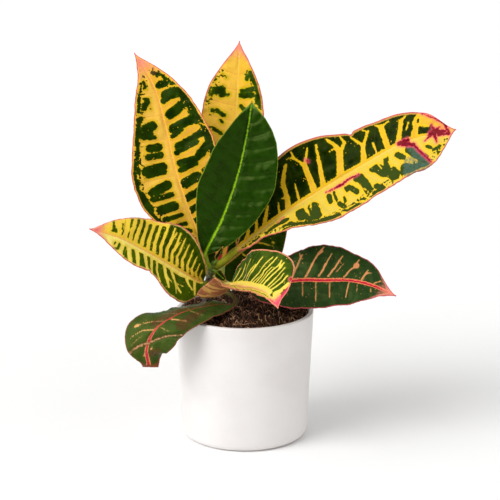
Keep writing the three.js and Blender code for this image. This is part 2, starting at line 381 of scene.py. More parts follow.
# %% Shape of the soil
SOIL = {"edge_height": 115, "crown_height": 122, "slope": 9, "clearance": 0.3}
CRUMBS = [(1.1, 11, 16), (0.8, 12, 6), (0.75, 13, 3), (0.35, 14, 1.8)]
CALM = {"width": 4, "least": 0.35, "drop": 1.2}  # the crumbs lie low along the wall
SOIL_SIDES = 300
MOUND_RINGS = 120
SOIL_RADIUS = outer_radius(SOIL["edge_height"]) - POT["wall"] - SOIL["clearance"]


def mound_height(flat):
    """Half a cosine wave from the crown in the middle down to the edge at the wall, and
    a gentle slope up to the back, where the mix was heaped."""
    share = np.clip(np.linalg.norm(flat, axis=-1) / SOIL_RADIUS, 0, 1)
    rise = (1 + np.cos(np.pi * share)) / 2
    mound = SOIL["edge_height"] + (SOIL["crown_height"] - SOIL["edge_height"]) * rise
    return mound + SOIL["slope"] * (1 + flat[..., 1] / SOIL_RADIUS) / 2


def crumbly(points):
    """The crumbs at any place: layered waves, calmed and lowered near the wall."""
    flat = points[..., :2]
    inside = ease(np.linalg.norm(flat, axis=-1), SOIL_RADIUS, SOIL_RADIUS - CALM["width"])
    share = CALM["least"] + (1 - CALM["least"]) * inside
    return share * layered_waves(flat, CRUMBS) - CALM["drop"] * (1 - inside)


def soil_profile():
    """Across the bottom, up the wall, and in over the mound."""
    clearance = SOIL["clearance"]
    bottom = POT["floor"] + clearance
    wall = outer_radius(bottom + POT["foot_rounding"]) - POT["wall"] - clearance
    radii = np.linspace(SOIL_RADIUS, 0.4, MOUND_RINGS)
    return np.concatenate([
        [(1, bottom), (wall - POT["foot_rounding"], bottom), (wall, bottom + POT["foot_rounding"])],
        straight((wall, bottom + POT["foot_rounding"]), (SOIL_RADIUS, SOIL["edge_height"]), 6),
        np.stack([radii, np.full(len(radii), SOIL["edge_height"])], axis=-1),
    ])


def roughen(rings):
    """Lifts only the rings of the mound."""
    mound = rings[-MOUND_RINGS:]
    mound[..., 2] = mound_height(mound[..., :2]) + crumbly(mound)
    return rings


def soil_finish():
    """Near-black peat with brown crumbs, rough and dull."""
    recipe = Recipe("peat_and_fibre", Specular_IOR_Level=0.2)
    place = recipe.place("object")
    lumps = recipe.fade(recipe.grain(place, 260, 5, 0.7), 0.35, 0.68)
    base = recipe.blend(lumps, colour(10, 5, 3), colour(50, 30, 19))
    light = recipe.fade(recipe.grain(place, 900, 2), 0.60, 0.72)
    base = recipe.blend(light, base, colour(122, 82, 56))
    tooth = recipe.grain(place, 1100, 5, 0.75)
    return recipe.finish(base, recipe.fade(lumps, 0, 1, 0.82, 0.98), tooth, 0.8, 0.9)


soil = turned_piece("soil_mound", soil_profile(), SOIL_SIDES, [soil_finish()], roughen)
stand_for(soil, "soil")

# %% [markdown]
# ## The coconut fibres
# The tangle of fibres is what makes the soil read as soil.  Blender's hair system would
# scatter them, but hair stays behind when a model leaves Blender.  So each fibre is a
# thin three-sided tube: it starts at a random place, wanders, arches a little, and follows
# the mound.  All of them are worked out at once and joined in one mesh.

# %% Scatter the fibres
FIBRES = 3200
FIBRE_STEPS = 7
FIBRE = {  # millimetres and radians; a pair is the shape and scale of a gamma draw
    "turn": 0.36, "length": (3.0, 2.7), "arch": (1.5, 1.0), "radius": (0.16, 0.46), "lift": 0.1,
    "start_inside": 3, "stay_inside": 1.5, "thin_end": 0.35,
}


def fibre_paths(draw):
    """Wandering lines on the mound: the heading turns at a steady random rate, and the
    height is the mound's plus an arch of half a sine wave."""
    radius = (SOIL_RADIUS - FIBRE["start_inside"]) * np.sqrt(draw.uniform(0, 1, FIBRES))
    angle = draw.uniform(0, 2 * np.pi, FIBRES)
    start = np.stack([radius * np.cos(angle), radius * np.sin(angle)], axis=-1)
    heading = draw.uniform(0, 2 * np.pi, (FIBRES, 1))
    turn = draw.normal(0, FIBRE["turn"], (FIBRES, 1)) * np.arange(FIBRE_STEPS)
    step = draw.gamma(*FIBRE["length"], (FIBRES, 1, 1)) / FIBRE_STEPS
    headings = np.stack([np.cos(heading + turn), np.sin(heading + turn)], axis=-1)
    flat = start[:, None] + np.cumsum(headings * step, axis=1)
    reach = np.linalg.norm(flat, axis=-1, keepdims=True)
    flat *= np.minimum(1, (SOIL_RADIUS - FIBRE["stay_inside"]) / reach)
    arch = np.sin(np.linspace(0, np.pi, FIBRE_STEPS)) * draw.gamma(*FIBRE["arch"], (FIBRES, 1))
    height = mound_height(flat) + crumbly(flat) + arch + FIBRE["lift"]
    return np.concatenate([flat, height[..., None]], axis=-1)


def fibre_mesh(paths, draw):
    """Three points round each step of each path, thinner towards the ends.  They turn
    anticlockwise as seen from the path's far end, so the faces point inwards."""
    along = unit(np.gradient(paths, axis=1))
    side = unit(np.cross(along, [0.0, 0.0, 1.0]))
    up = np.cross(side, along)
    thick = np.sin(np.linspace(0.1, np.pi - 0.1, FIBRE_STEPS))
    taper = FIBRE["thin_end"] + (1 - FIBRE["thin_end"]) * thick
    radius = draw.uniform(*FIBRE["radius"], (FIBRES, 1)) * taper
    corners = np.radians([90, 330, 210])[:, None]
    spokes = np.cos(corners) * side[:, :, None] + np.sin(corners) * up[:, :, None]
    rings = paths[:, :, None] + radius[..., None, None] * spokes
    size = FIBRE_STEPS * 3
    first = np.arange(FIBRES)[:, None, None] * size
    quads = np.array(ring_faces(FIBRE_STEPS, 3)) + first
    caps = np.array([[0, 1, 2], [size - 1, size - 2, size - 3]]) + first
    return rings, quads.reshape(-1, 4).tolist() + caps.reshape(-1, 3).tolist()


def fibre_finish():
    """From dark root brown to dry straw, by the shade each fibre drew."""
    recipe = Recipe("coconut_fibre", Specular_IOR_Level=0.3)
    shade = recipe.measure("shade")
    base = recipe.blend(recipe.fade(shade, 0, 0.6), colour(22, 12, 7), colour(122, 78, 52))
    base = recipe.blend(recipe.fade(shade, 0.6, 0.9), base, colour(222, 174, 130))
    streak = recipe.grain(recipe.place("object"), 700, 2)
    base = recipe.blend(recipe.fade(streak, 0.4, 0.7, 0, 0.4), base, colour(30, 20, 15))
    return recipe.finish(base, recipe.fade(streak, 0.3, 0.7, 0.6, 0.85), streak, 0.3, 0.1)


draw = np.random.default_rng(5)
rings, faces = fibre_mesh(fibre_paths(draw), draw)
shade = np.repeat(draw.uniform(0, 1, FIBRES) ** 1.5, FIBRE_STEPS * 3)
fibres = add_piece("soil_fibres", rings, faces, [fibre_finish()], {"shade": shade})
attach(fibres, "root")

# %% [markdown]
# ## The stem
# The stem is woody at the foot and green at the growing tip.  We could extrude a circle
# with a curve's bevel, but bark needs relief: shallow grooves that run along it, and a
# ridge at each old leaf scar.  So it is a skin over rings, like the leaf stalks later.

# %% Shape of the stem
STEM = {
    "path": [(-37, 9, 84), (-36, 8, 112), (-35, 6, 134), (-32, 4, 152), (-27, 3, 168)],
    "radii": [4.5, 5, 4.6, 4.6, 3.4],
    "face": (0, -1, 0),
    "scars": [0.50, 0.585, 0.66, 0.735, 0.80, 0.865, 0.93],
}
SCAR = {"height": 0.55, "length": 0.007, "dip": 0.25, "dip_after": 0.02, "dip_length": 0.012}
SLANT = {"size": 0.012, "twist": 5}  # a scar isn't quite level
BARK = [(0.16, 31, 3), (0.10, 32, 1.4)]
BARK_SPACE = {"round": 4, "along": 14}  # the size of the room that the waves are read in
STEM_ROUNDING = (0.97, 1.001)  # the stations over which the tip closes
STEM_SIDES = 56
STEM_ROWS = 150


def square_axes(tangents, face):
    """The side that looks out, made square to the path, and the direction to its left."""
    face = np.asarray(face, float)
    out = unit(face - (tangents @ face)[:, None] * tangents)
    return out, np.cross(out, tangents)


def bell(distance, length):
    """exp(-(distance / length)²): 1 in the middle, and almost nothing past two lengths."""
    return np.exp(-((distance / length) ** 2))


def stem_rings():
    """Circles square to the path.  The radius swells at each scar and dips just above it,
    low waves make the bark, and the tip is rounded off by the root of 1 - ease²."""
    path = smooth_path(STEM["path"])
    walked = lengths_along(path)
    stations = np.linspace(0, 1, STEM_ROWS)
    distances = stations * walked[-1]
    centres = at_distances(path, path, distances)
    tangents = unit(at_distances(path, np.gradient(path, walked, axis=0), distances))
    out, left = square_axes(tangents, STEM["face"])
    angles = np.linspace(np.pi, -np.pi, STEM_SIDES, endpoint=False)
    around = np.stack([np.cos(angles), np.sin(angles)], axis=-1)
    grid = (STEM_ROWS, STEM_SIDES)
    rounds = np.broadcast_to(around * BARK_SPACE["round"], (*grid, 2))
    rows = np.broadcast_to(stations[:, None, None] * BARK_SPACE["along"], (*grid, 1))
    place = np.concatenate([rounds, rows], axis=-1)
    climb = stations[:, None]
    slanted = climb + SLANT["size"] * np.sin(angles + SLANT["twist"] * climb)
    ridges = sum(SCAR["height"] * bell(slanted - scar, SCAR["length"])
                 - SCAR["dip"] * bell(slanted - scar - SCAR["dip_after"], SCAR["dip_length"])
                 for scar in STEM["scars"])
    tip = np.sqrt(1 - ease(stations, *STEM_ROUNDING) ** 2)[:, None]
    plain_radius = at_stations(STEM["radii"], stations)[:, None]
    radius = (plain_radius + layered_waves(place, BARK) + ridges) * tip
    offset = around[:, 0, None] * left[:, None] + around[:, 1, None] * out[:, None]
    return centres[:, None] + radius[..., None] * offset, stations


def capped_rings(rings):
    """The faces of a skin over rings, with a single point closing each end."""
    rows, sides = rings.shape[:2]
    middles = rings[[0, -1]].mean(axis=1)
    points = np.concatenate([rings.reshape(-1, 3), middles])
    side = np.arange(sides)
    beside = (side + 1) % sides
    first, last = rows * sides, (rows - 1) * sides
    start = np.stack([np.full(sides, first), side, beside], axis=-1)
    stop = np.stack([np.full(sides, first + 1), last + beside, last + side], axis=-1)
    return points, ring_faces(rows, sides) + start.tolist() + stop.tolist()

# %% [markdown]
# The bark is a grey skin that cracks over brown wood, and it turns green where the stem is
# still young.

# %% Finish of the stem
def stem_finish():
    """Grey bark over brown, pale flecks, and green towards the tip."""
    recipe = Recipe("young_bark", Specular_IOR_Level=0.35)
    place = recipe.place("object")
    age = recipe.measure("station")
    patches = recipe.fade(recipe.grain(place, 420, 4, 0.65), 0.42, 0.60)
    base = recipe.blend(patches, colour(70, 56, 44), colour(132, 122, 106))
    flecks = recipe.fade(recipe.grain(place, 1500, 2), 0.60, 0.70)
    base = recipe.blend(flecks, base, colour(168, 160, 148))
    young = recipe.fade(recipe.plus(age, recipe.fade(patches, 0, 1, 0.0, 0.04)), 0.78, 0.94)
    base = recipe.blend(young, base, colour(92, 112, 34))
    tooth = recipe.grain(place, 1300, 4, 0.7)
    return recipe.finish(base, recipe.fade(patches, 0, 1, 0.75, 0.5), tooth, 0.5, 0.35)


rings, stations = stem_rings()
points, faces = capped_rings(rings)
ages = np.concatenate([np.repeat(stations, STEM_SIDES), [0, 1]])
stem = add_piece("woody_stem", points, faces, [stem_finish()], {"station": ages})
stand_for(stem, "main_stem")

# %% [markdown]
# ## How a leaf is described
# Every leaf is different, but all of them follow one recipe.  A midrib curves through
# space.  At each station along it, the left and right halves have a width, and a tilt up
# from flat like the two covers of an open book.  Each half also curls.  That is what you
# would note down with a ruler and a protractor, leaf in hand.  We could push and pull a
# subdivided plane instead, but then nobody could say how wide the leaf is.
#
# Points are (right, back, up) in millimetres from the middle of the pot's underside.
# Half widths are at even stations from the base to the tip, and tilts in degrees as well.

# %% The tall leaves
LEAVES = {
    "leaf_upper_left": {
        "stalk": 2.6, "face": [0.1, -0.9, 0.3], "curl": [20, 20],
        "petiole": [[-33, 6, 151], [-35, 10, 161]],
        "midrib": [[-40, 19, 178], [-54, 28, 213], [-66, 40, 248], [-75, 53, 284], [-86, 66, 320],
            [-105, 80, 352]],
        "left": [2, 21, 36, 42, 42, 37, 32, 26, 19, 8, 0], "left_tilt": [18, 6, 9, 15, 20],
        "right": [2, 18, 32, 42, 46, 45, 39, 32, 21, 10, 0], "right_tilt": [36, 25, 25, 22, 16],
    },
    "leaf_upper_back": {
        "stalk": 2.6, "face": [0, -0.9, 0.4], "curl": [15, 15],
        "petiole": [[-33, 6, 143], [-25, 15, 143], [-22, 18, 149]],
        "midrib": [[-21, 22, 160], [-14, 48, 219], [-9, 66, 265], [-7, 84, 312], [-5, 102, 360]],
        "left": [5, 14, 18, 22, 26, 30, 33, 33, 27, 14, 0], "left_tilt": [28, 20, 15, 10, 8],
        "right": [2, 7, 12, 18, 23, 26, 27, 26, 21, 11, 0], "right_tilt": [38, 24, 17, 13, 11],
    },
    "leaf_front_green": {
        "stalk": 2, "face": [0, -0.95, 0.3], "curl": [10, 10],
        "petiole": [[-29, 3, 160], [-34, 1, 165]],
        "midrib": [[-37, 0, 173], [-21, 3, 208], [-8, 10, 243], [1, 19, 279], [7, 30, 315]],
        "left": [2, 14, 23, 29, 33, 33, 31, 27, 20, 11, 0], "left_tilt": [4, 8, 18, 20, 24],
        "right": [2, 14, 22, 29, 34, 37, 36, 33, 27, 16, 0], "right_tilt": [16, 9, 10, 14, 18],
    },
}

# %% The leaves that reach out
LEAVES |= {
    "leaf_right": {
        "stalk": 3.4, "face": [-0.1, -0.7, 0.7], "curl": [10, 10],
        "petiole": [[-27, 3, 162], [-19, 3, 168]],
        "midrib": [[-9, 5, 177], [29, 12, 205], [69, 12, 232], [108, 5, 258], [148, -5, 283],
            [193, -14, 297]],
        "left": [2, 20, 34, 46, 50, 46, 36, 33, 30, 22, 0], "left_tilt": [-8, 22, 19, 7, 12],
        "right": [2, 20, 34, 41, 45, 46, 43, 40, 37, 31, 0], "right_tilt": [10, 40, 19, 12, 4, -3],
    },
    "leaf_left": {
        "stalk": 2.4, "face": [0.1, -0.6, 0.8], "curl": [-20, -30],
        "petiole": [[-34, 5, 146], [-36, 0, 147]],
        "midrib": [[-38, -4, 148], [-63, -14, 165], [-88, -22, 182], [-113, -31, 198],
            [-141, -40, 210]],
        "left": [9, 26, 29, 27, 21, 20, 20, 17, 12, 6, 0], "left_tilt": [-18, -12, -1, -13, 4],
        "right": [7, 19, 29, 35, 37, 32, 30, 24, 18, 9, 0], "right_tilt": [68, 46, 26, 20, 13],
    },
    "leaf_front_right": {
        "stalk": 2.4, "face": [0, 0, 1], "curl": [15, 70],
        "petiole": [[-31, 4, 154], [-23, -3, 152]],
        "midrib": [[-15, -10, 149], [-3, -34, 155], [9, -60, 160], [20, -86, 163], [30, -108, 155]],
        "left": [8, 20, 28, 33, 36, 38, 39, 38, 32, 19, 0],
        "left_tilt": [62, 65, 65, 69, 64, 58, 53, 44, 42, 48, 54],
        "right": [9, 39, 26, 20, 20, 18, 14, 11, 7, 3, 0],
        "right_tilt": [-12, -8, 20, 6, 4, 2, 0, -6, -12, -20, -20],
    },
    "leaf_lower_right": {
        "stalk": 2, "face": [0, -0.6, 0.8], "curl": [-10, -15],
        "petiole": [[-32, 4, 148], [-18, 0, 147]],
        "midrib": [[-1, -4, 145], [35, -9, 151], [71, -15, 154], [107, -21, 154], [140, -32, 144]],
        "left": [2, 15, 23, 28, 34, 36, 34, 28, 20, 8, 0], "left_tilt": [12, 8, 17, 13, 18],
        "right": [2, 19, 25, 29, 30, 29, 27, 25, 20, 9, 0], "right_tilt": [2, -4, -9, -9, 0],
    },
    "leaf_lower_left": {
        "stalk": 2.2, "face": [-0.1, -0.4, 0.9], "curl": [-10, -10],
        "petiole": [[-34, 5, 139], [-21, -3, 140], [-11, -9, 137]],
        "midrib": [[-8, -14, 132], [-26, -26, 134], [-44, -38, 134], [-62, -50, 131],
            [-79, -58, 122], [-89, -61, 104], [-88, -56, 83]],
        "left": [2, 9, 14, 18, 21, 21, 23, 24, 21, 16, 9],
        "left_tilt": [-16, -8, -8, -20, -24, -10],
        "right": [2, 8, 14, 18, 21, 22, 24, 26, 26, 17, 7],
        "right_tilt": [-25, -27, -24, -14, 16, 10],
    },
}

# %% The leaf in the shade and the two young ones
LEAVES |= {
    "leaf_back_right": {
        "stalk": 2, "face": [-0.3, -0.6, 0.7], "curl": [10, 10],
        "petiole": [[-32, 8, 149], [-31, 16, 149]],
        "midrib": [[-27, 24, 151], [5, 51, 171], [30, 75, 191], [50, 102, 215]],
        "left": [19, 29, 31, 29, 27, 25, 23, 20, 16, 9, 0], "left_tilt": [24, 36, 40],
        "right": [14, 31, 36, 35, 32, 27, 20, 13, 8, 4, 0], "right_tilt": [-44, -28, -45],
    },
    "leaf_crown_upper": {
        "stalk": 0.9, "face": [0, -0.9, 0.3], "curl": [10, 10],
        "petiole": [[-28, 2, 165]],
        "midrib": [[-27, -7, 170], [-23, -8, 177], [-20, -8, 185]],
        "left": [1, 3.5, 4, 3, 0], "left_tilt": [40, 36, 35],
        "right": [1, 3, 3, 2, 0], "right_tilt": [24, 34, 39],
    },
    "leaf_crown_lower": {
        "stalk": 0.9, "face": [0, -0.8, 0.5], "curl": [10, 10],
        "petiole": [[-30, 4, 158]],
        "midrib": [[-28, -5, 161], [-23, -8, 157], [-17, -11, 152]],
        "left": [1, 4.5, 4, 3, 0], "left_tilt": [36, 34, 36],
        "right": [1, 4, 4, 3, 0], "right_tilt": [6, 1, 3],
    },
}
for name, leaf in LEAVES.items():
    print(name, "is at most", max(leaf["left"]) + max(leaf["right"]), "mm wide, laid flat")

# %% [markdown]
# ## Side ribs
# Side ribs leave the midrib in pairs and sweep towards the tip.  Between two of them the
# blade bulges up a little.  The stations where they start, in per cent, and how far they
# have climbed at the margin are enough to place them all.

# %% Where the side ribs start
def evenly(first, last, step):
    """Rib stations at equal steps."""
    return np.arange(first, last, step).tolist()


RIBS = {
    "leaf_upper_left": {
        "left": [6, 12.5, 19.5, 26, 36.5, 45, 54.5, 66.5, 78, 86],
        "right": [4, 9.5, 15, 21, 28, 35, 44, 53, 62, 69.5, 77, 83, 89],
        "rise": (1, 3),
    },
    "leaf_upper_back": {"left": evenly(8, 94, 7), "right": evenly(11, 94, 7.4), "rise": (3, 3)},
    "leaf_front_green": {"left": evenly(9, 93, 8), "right": evenly(6, 93, 8), "rise": (7, 7)},
    "leaf_right": {
        "left": [5, 10, 14.5, 21.5, 26.5, 32, 39, 43.5, 51.5, 61.5, 67.5, 73, 77.5, 84, 90],
        "right": [4, 8, 12.5, 20, 26, 32, 38, 44, 50, 56, 62, 68, 74.5, 80, 87, 92],
        "rise": (5, 6),
    },
    "leaf_left": {
        "left": [9, 16, 23, 30, 36.5, 43, 48, 54, 61, 67.5, 75, 82, 89],
        "right": [5.5, 10.5, 15, 20, 25, 29.5, 35, 40, 45, 51, 56, 61.5, 66.5, 73, 80, 87],
        "rise": (-6, 3),
    },
    "leaf_front_right": {"left": evenly(6, 92, 4.9), "right": evenly(8, 92, 7), "rise": (14, 8)},
    "leaf_lower_right": {
        "left": [8, 16, 24, 31.6, 40.5, 48.7, 55, 65, 70, 76, 84, 91],
        "right": [10, 19, 28, 38.7, 47.3, 56, 62, 68.5, 74, 83, 90],
        "rise": (9, 2),
    },
    "leaf_lower_left": {
        "left": [16, 24, 32, 40, 48, 56, 66, 75, 84],
        "right": [12, 22, 31, 40, 50, 61, 70.5, 80, 88],
        "rise": (-8, 12),
    },
    "leaf_back_right": {"left": evenly(8, 94, 9), "right": evenly(10, 94, 9), "rise": (6, 7)},
    "leaf_crown_upper": {"left": [30, 60], "right": [30, 60], "rise": (12, 12)},
    "leaf_crown_lower": {"left": [30, 60], "right": [30, 60], "rise": (12, 12)},
}
print(sum(len(ribs["left"]) + len(ribs["right"]) for ribs in RIBS.values()), "side ribs")

# %% [markdown]
# Few margins are one clean sweep.  A notch takes a little off a half width around one
# station: `(side, station, depth in millimetres, length as a share)`.

# %% Notches in the margins
NOTCHES = {
    "leaf_right": [("right", 0.13, 10, 0.055), ("left", 0.615, 2.5, 0.012)],
    "leaf_left": [("left", 0.47, 1.5, 0.02)],
    "leaf_front_right": [("right", 0.155, 4.5, 0.03)],
    "leaf_lower_left": [("right", 0.93, 5, 0.06)],
}
print("leaves with a notch:", ", ".join(NOTCHES))

# %% [markdown]
# ## Painting the pattern
# A croton's yellow follows its ribs, but loosely.  No formula grows exactly this pattern,
# so we paint it, the way a botanical artist would: broad strokes on the leaf laid flat.
# A stroke is a width in millimetres, or a start and an end width, and then the points it
# passes, each as a station and a distance out to the margin, in per cent.  The shader
# later frays the edges, so a few strokes give a natural blotch.
#
# The ground is the colour under the strokes, on the left and the right half.  After it
# come groups of strokes, each in one paint on one half, in the order of painting.

# %% Leaves without strokes
PATTERNS = {
    name: {"ground": ("green", "green"), "strokes": []}
    for name in ("leaf_front_green", "leaf_crown_upper", "leaf_crown_lower")
}

# %% The upper left leaf
# Green islands in two rows on each half, and a broken green hem.
PATTERNS["leaf_upper_left"] = {
    "ground": ("yellow", "yellow"),
    "strokes": [
        ("green", "left", [
            (4.5, 17.5, 23, 18, 74), (9.4, 22.6, 29, 22.6, 62), (9, 33, 26, 31.3, 62),
            (5.5, 28, 24, 28.3, 68), (8.5, 41.8, 25, 41.2, 66), (5, 39.3, 24, 39.3, 62),
            (8, 51.3, 28, 51.3, 52), (6, 47.3, 25, 47.3, 58), (9.5, 62, 38, 61, 60),
            (8, 57.8, 66, 58.5, 50), (4, 56.3, 36, 56.3, 50), (6, 74, 46, 72.5, 60),
            (4, 71, 60, 71, 66), (3.2, 84.5, 52, 81.5, 44), (1.6, 70.5, 36, 70.5, 38),
            (3, 75.5, 40, 76, 60), (4, 18, 90, 23, 92), (8, 24, 88, 29, 88, 32, 90),
            (5, 34, 94, 41, 94), (6, 37.5, 88, 36.5, 93), (5, 42, 84, 45, 90),
            (4, 43, 90, 49, 84, 55, 86), (4, 55, 88, 61, 88, 65, 80), (5, 66.5, 74, 66, 86),
            (3.4, 70, 84, 77, 82), (2, 77, 84, 83, 70), (4, 58, 78, 61, 80), (5, 9, 30, 12, 70),
            (4, 13, 25, 13.5, 60),
        ]),
        ("green", "right", [
            (3.5, 87, 42, 85, 60), (2.6, 85, 68, 80, 80), (6.5, 80.3, 26, 80, 60),
            (5, 78, 76, 77, 86), (10, 74.8, 32, 74.6, 60), (6, 72.5, 16, 73, 30),
            (9.5, 65.6, 22, 66.5, 40, 68, 60), (9, 58.5, 18, 59.5, 36, 60.3, 74),
            (5, 55, 12, 57, 36), (7, 49.8, 18, 53, 74), (5.5, 46.8, 12, 49.5, 60),
            (7, 41.5, 14, 41.5, 44), (9, 43.2, 60, 46.4, 80), (6, 38, 12, 39.2, 46),
            (5, 41, 50, 42.5, 66), (10.5, 31.2, 14, 32.5, 42), (7.5, 24, 8, 25.5, 44),
            (6.5, 18, 8, 19.5, 54), (5.5, 12.5, 8, 13.5, 60), (4, 7.5, 10, 8.5, 60),
            (8, 24, 88, 36, 90), (7, 36, 92, 47, 90), (9, 47, 88, 53, 90), (7, 53, 92, 60, 88),
            (6, 60, 86, 66, 84), (8, 68, 84, 72, 84), (6, 72, 84, 77, 82), (8, 64, 82, 66, 90),
            (5, 34.5, 60, 36, 84),
        ]),
        ("yellow", "right", [(1.2, 57.5, 84, 55, 100), (1.6, 78, 60, 76.5, 100)]),
    ],
}

# %% The leaf at the back
# Mostly yellow, with a few islands near the margins.
PATTERNS["leaf_upper_back"] = {
    "ground": ("yellow", "yellow"),
    "strokes": [
        ("green", "left", [
            (8, 77, 72, 77.5, 52), (5, 75.6, 42, 75.2, 50), (3, 74.7, 80, 75.6, 84),
            (3, 75.6, 28, 75.2, 32), (4.5, 68.1, 70, 68.1, 56, 66.7, 42, 66.3, 36),
            (4, 59.7, 66, 58.8, 56, 57.8, 44), (2, 82.2, 84, 81.7, 92), (1.2, 84.5, 66, 84.8, 72),
            (2.5, 76.1, 94, 78.4, 92), (2, 71.9, 88, 72.2, 94), (1.2, 82.9, 46, 83.1, 50),
            (6, 50.3, 40, 51.3, 66), (7, 41.9, 30, 42.8, 70), (6, 33.5, 30, 34.4, 60),
            (5, 26, 30, 26.9, 70), (3, 63, 40, 63.9, 46), (3, 55, 86, 49.4, 90),
            (4, 43.8, 92, 38.2, 90),
        ]),
        ("green", "right", [
            (5, 78.3, 64, 77.8, 42), (6.5, 75.6, 18, 75.6, 58), (4, 77.5, 18, 77.7, 26),
            (4, 82.7, 46, 84.1, 60), (3, 85.5, 70, 81.7, 78), (2, 85, 44, 85, 52),
            (4, 85.9, 80, 81.3, 84, 75.6, 86, 70, 88), (6, 72.8, 82, 74.7, 84),
            (4.5, 70.5, 16, 69.1, 28), (6, 62.5, 30, 63.5, 66), (7, 55, 20, 56, 60),
            (7, 47.5, 24, 48.5, 64), (6, 39.1, 30, 40, 66), (5, 31.6, 30, 32.5, 60),
            (4, 62.5, 90, 53.1, 92), (3, 24.1, 30, 25, 60),
        ]),
    ],
}

# %% The right leaf
# Upper half: yellow branches on green.  Lower half: torn green islands on yellow.
PATTERNS["leaf_right"] = {
    "ground": ("green", "yellow"),
    "strokes": [
        ("yellow", "left", [
            ((5, 3), 6, 6, 9, 46), ((4, 2), 11, 8, 14, 44), ((5, 2), 15, 6, 17.5, 26, 20.5, 44),
            ((3, 1), 22.5, 4, 24.5, 30), ((5.5, 3), 26.5, 4, 28.5, 25, 30, 55, 34.5, 78),
            ((2, 1), 28.5, 25, 26.5, 32), ((2.5, 1), 31.8, 6, 33.8, 38),
            ((6.5, 4.5), 38.8, 4, 40.6, 58), ((3, 1.6), 40.6, 58, 43, 72, 44.6, 84),
            ((2.6, 1.5), 40.6, 58, 38.5, 80, 39, 92), ((2, 1.2), 38.5, 80, 36, 86),
            ((5.5, 3.6), 43, 4, 46, 50), ((3.4, 2), 46, 50, 48, 84), ((7.5, 6), 51, 4, 54.5, 52),
            ((4.6, 2.4), 54.5, 52, 58, 76), ((5, 2), 54.5, 52, 54.5, 70, 52.5, 90),
            ((2, 1.4), 57.8, 76, 57.5, 94), ((2, 1.2), 54.5, 66, 51.5, 62),
            ((6.5, 4), 61.5, 4, 64, 50), ((3.4, 2), 64, 50, 68, 80), ((3, 1.6), 64, 50, 61, 86),
            ((1.6, 1), 68, 80, 66, 92), ((5.5, 4.6), 72.8, 4, 73, 50, 73, 78),
            ((2.6, 1.4), 73, 78, 71.3, 90), ((2.6, 1.4), 73, 78, 76, 86),
            ((1.6, 2), 67.8, 6, 68, 42), ((5.5, 3.4), 77, 5, 79, 40, 80.3, 76),
            ((2.4, 1.4), 80.3, 76, 82.5, 90), ((6, 5), 83.7, 6, 85.3, 50),
            (14, 88, 72, 92, 50, 96, 20), (10, 92, 0, 98, 20), (5, 85, 60, 87, 88),
            (1.4, 81.5, 40, 82.8, 66),
        ]),
        ("green", "left", [
            (5.5, 87.4, 26, 89, 26), (2.5, 90.6, 20, 90.8, 44), (2, 86.2, 60, 86.4, 70),
            (3, 86.6, 20, 87.2, 36),
        ]),
        ("green", "right", [
            (7, 9.3, 32, 9.8, 50), (3.5, 6, 30, 6.5, 60), (2, 4, 30, 4.2, 70),
            (8, 15, 32, 18, 36), (8.5, 20.5, 40, 23.5, 42), (11, 36, 34, 36, 66),
            (11, 30.5, 34, 30.5, 56), (7, 33, 62, 33, 70), (5, 25, 66, 26.5, 84),
            (9, 37.5, 90, 41.5, 92), (5.5, 43.5, 26, 43.3, 42), (3, 46, 24, 46, 48),
            (5, 46.5, 58, 48.5, 76), (3, 49.5, 52, 49.5, 64), (4, 51, 92, 54.5, 90),
            (5.5, 52.3, 32, 54, 44, 55.5, 60), (3, 51, 28, 51.5, 40),
            (8.5, 57.8, 24, 59.5, 50, 60, 72), (4, 56, 22, 56.5, 30), (6, 63.5, 72, 65.5, 86),
            (9.5, 64.5, 22, 66.5, 34, 68, 50), (12, 68.5, 46, 71, 60, 72, 74),
            (6, 70.5, 20, 70, 34), (6, 75.5, 24, 77.5, 40), (9, 77, 66, 79.5, 80),
            (10, 81, 24, 83, 42, 86, 64, 86.5, 80), (3, 90.5, 55, 93, 60), (2, 92, 70, 92, 84),
            (3.5, 88, 32, 89.5, 42), (4, 14, 52, 12, 70), (6, 28, 84, 36, 88, 43, 90),
            (5, 22, 70, 26, 80), (8, 76, 78, 80, 84, 84, 80), (5, 62, 88, 66, 92),
            (3, 21, 88, 25, 92), (3, 29, 78, 30, 84), (4, 44, 84, 45.5, 92), (3, 48, 86, 50, 94),
            (2.4, 56, 82, 58, 90), (3, 33, 90, 36, 92),
        ]),
        ("yellow", "right", [
            ((2.4, 1), 32.5, 22, 33.3, 60), ((2, 1), 35.3, 24, 35, 44),
            ((1.8, 1), 66.6, 14, 67.6, 36), ((1.4, 1), 71.2, 30, 71.6, 48),
            ((3, 1.5), 76, 44, 80, 60, 83, 72), ((1.6, 1), 58.6, 60, 60.5, 88),
        ]),
        ("yellow", "right", [
            ((7, 11), 2, 10, 14, 8), ((11, 11.5), 14, 8, 60, 5), ((11, 7), 60, 5, 86, 2),
            ((7, 4), 86, 2, 98, 0),
        ]),
    ],
}

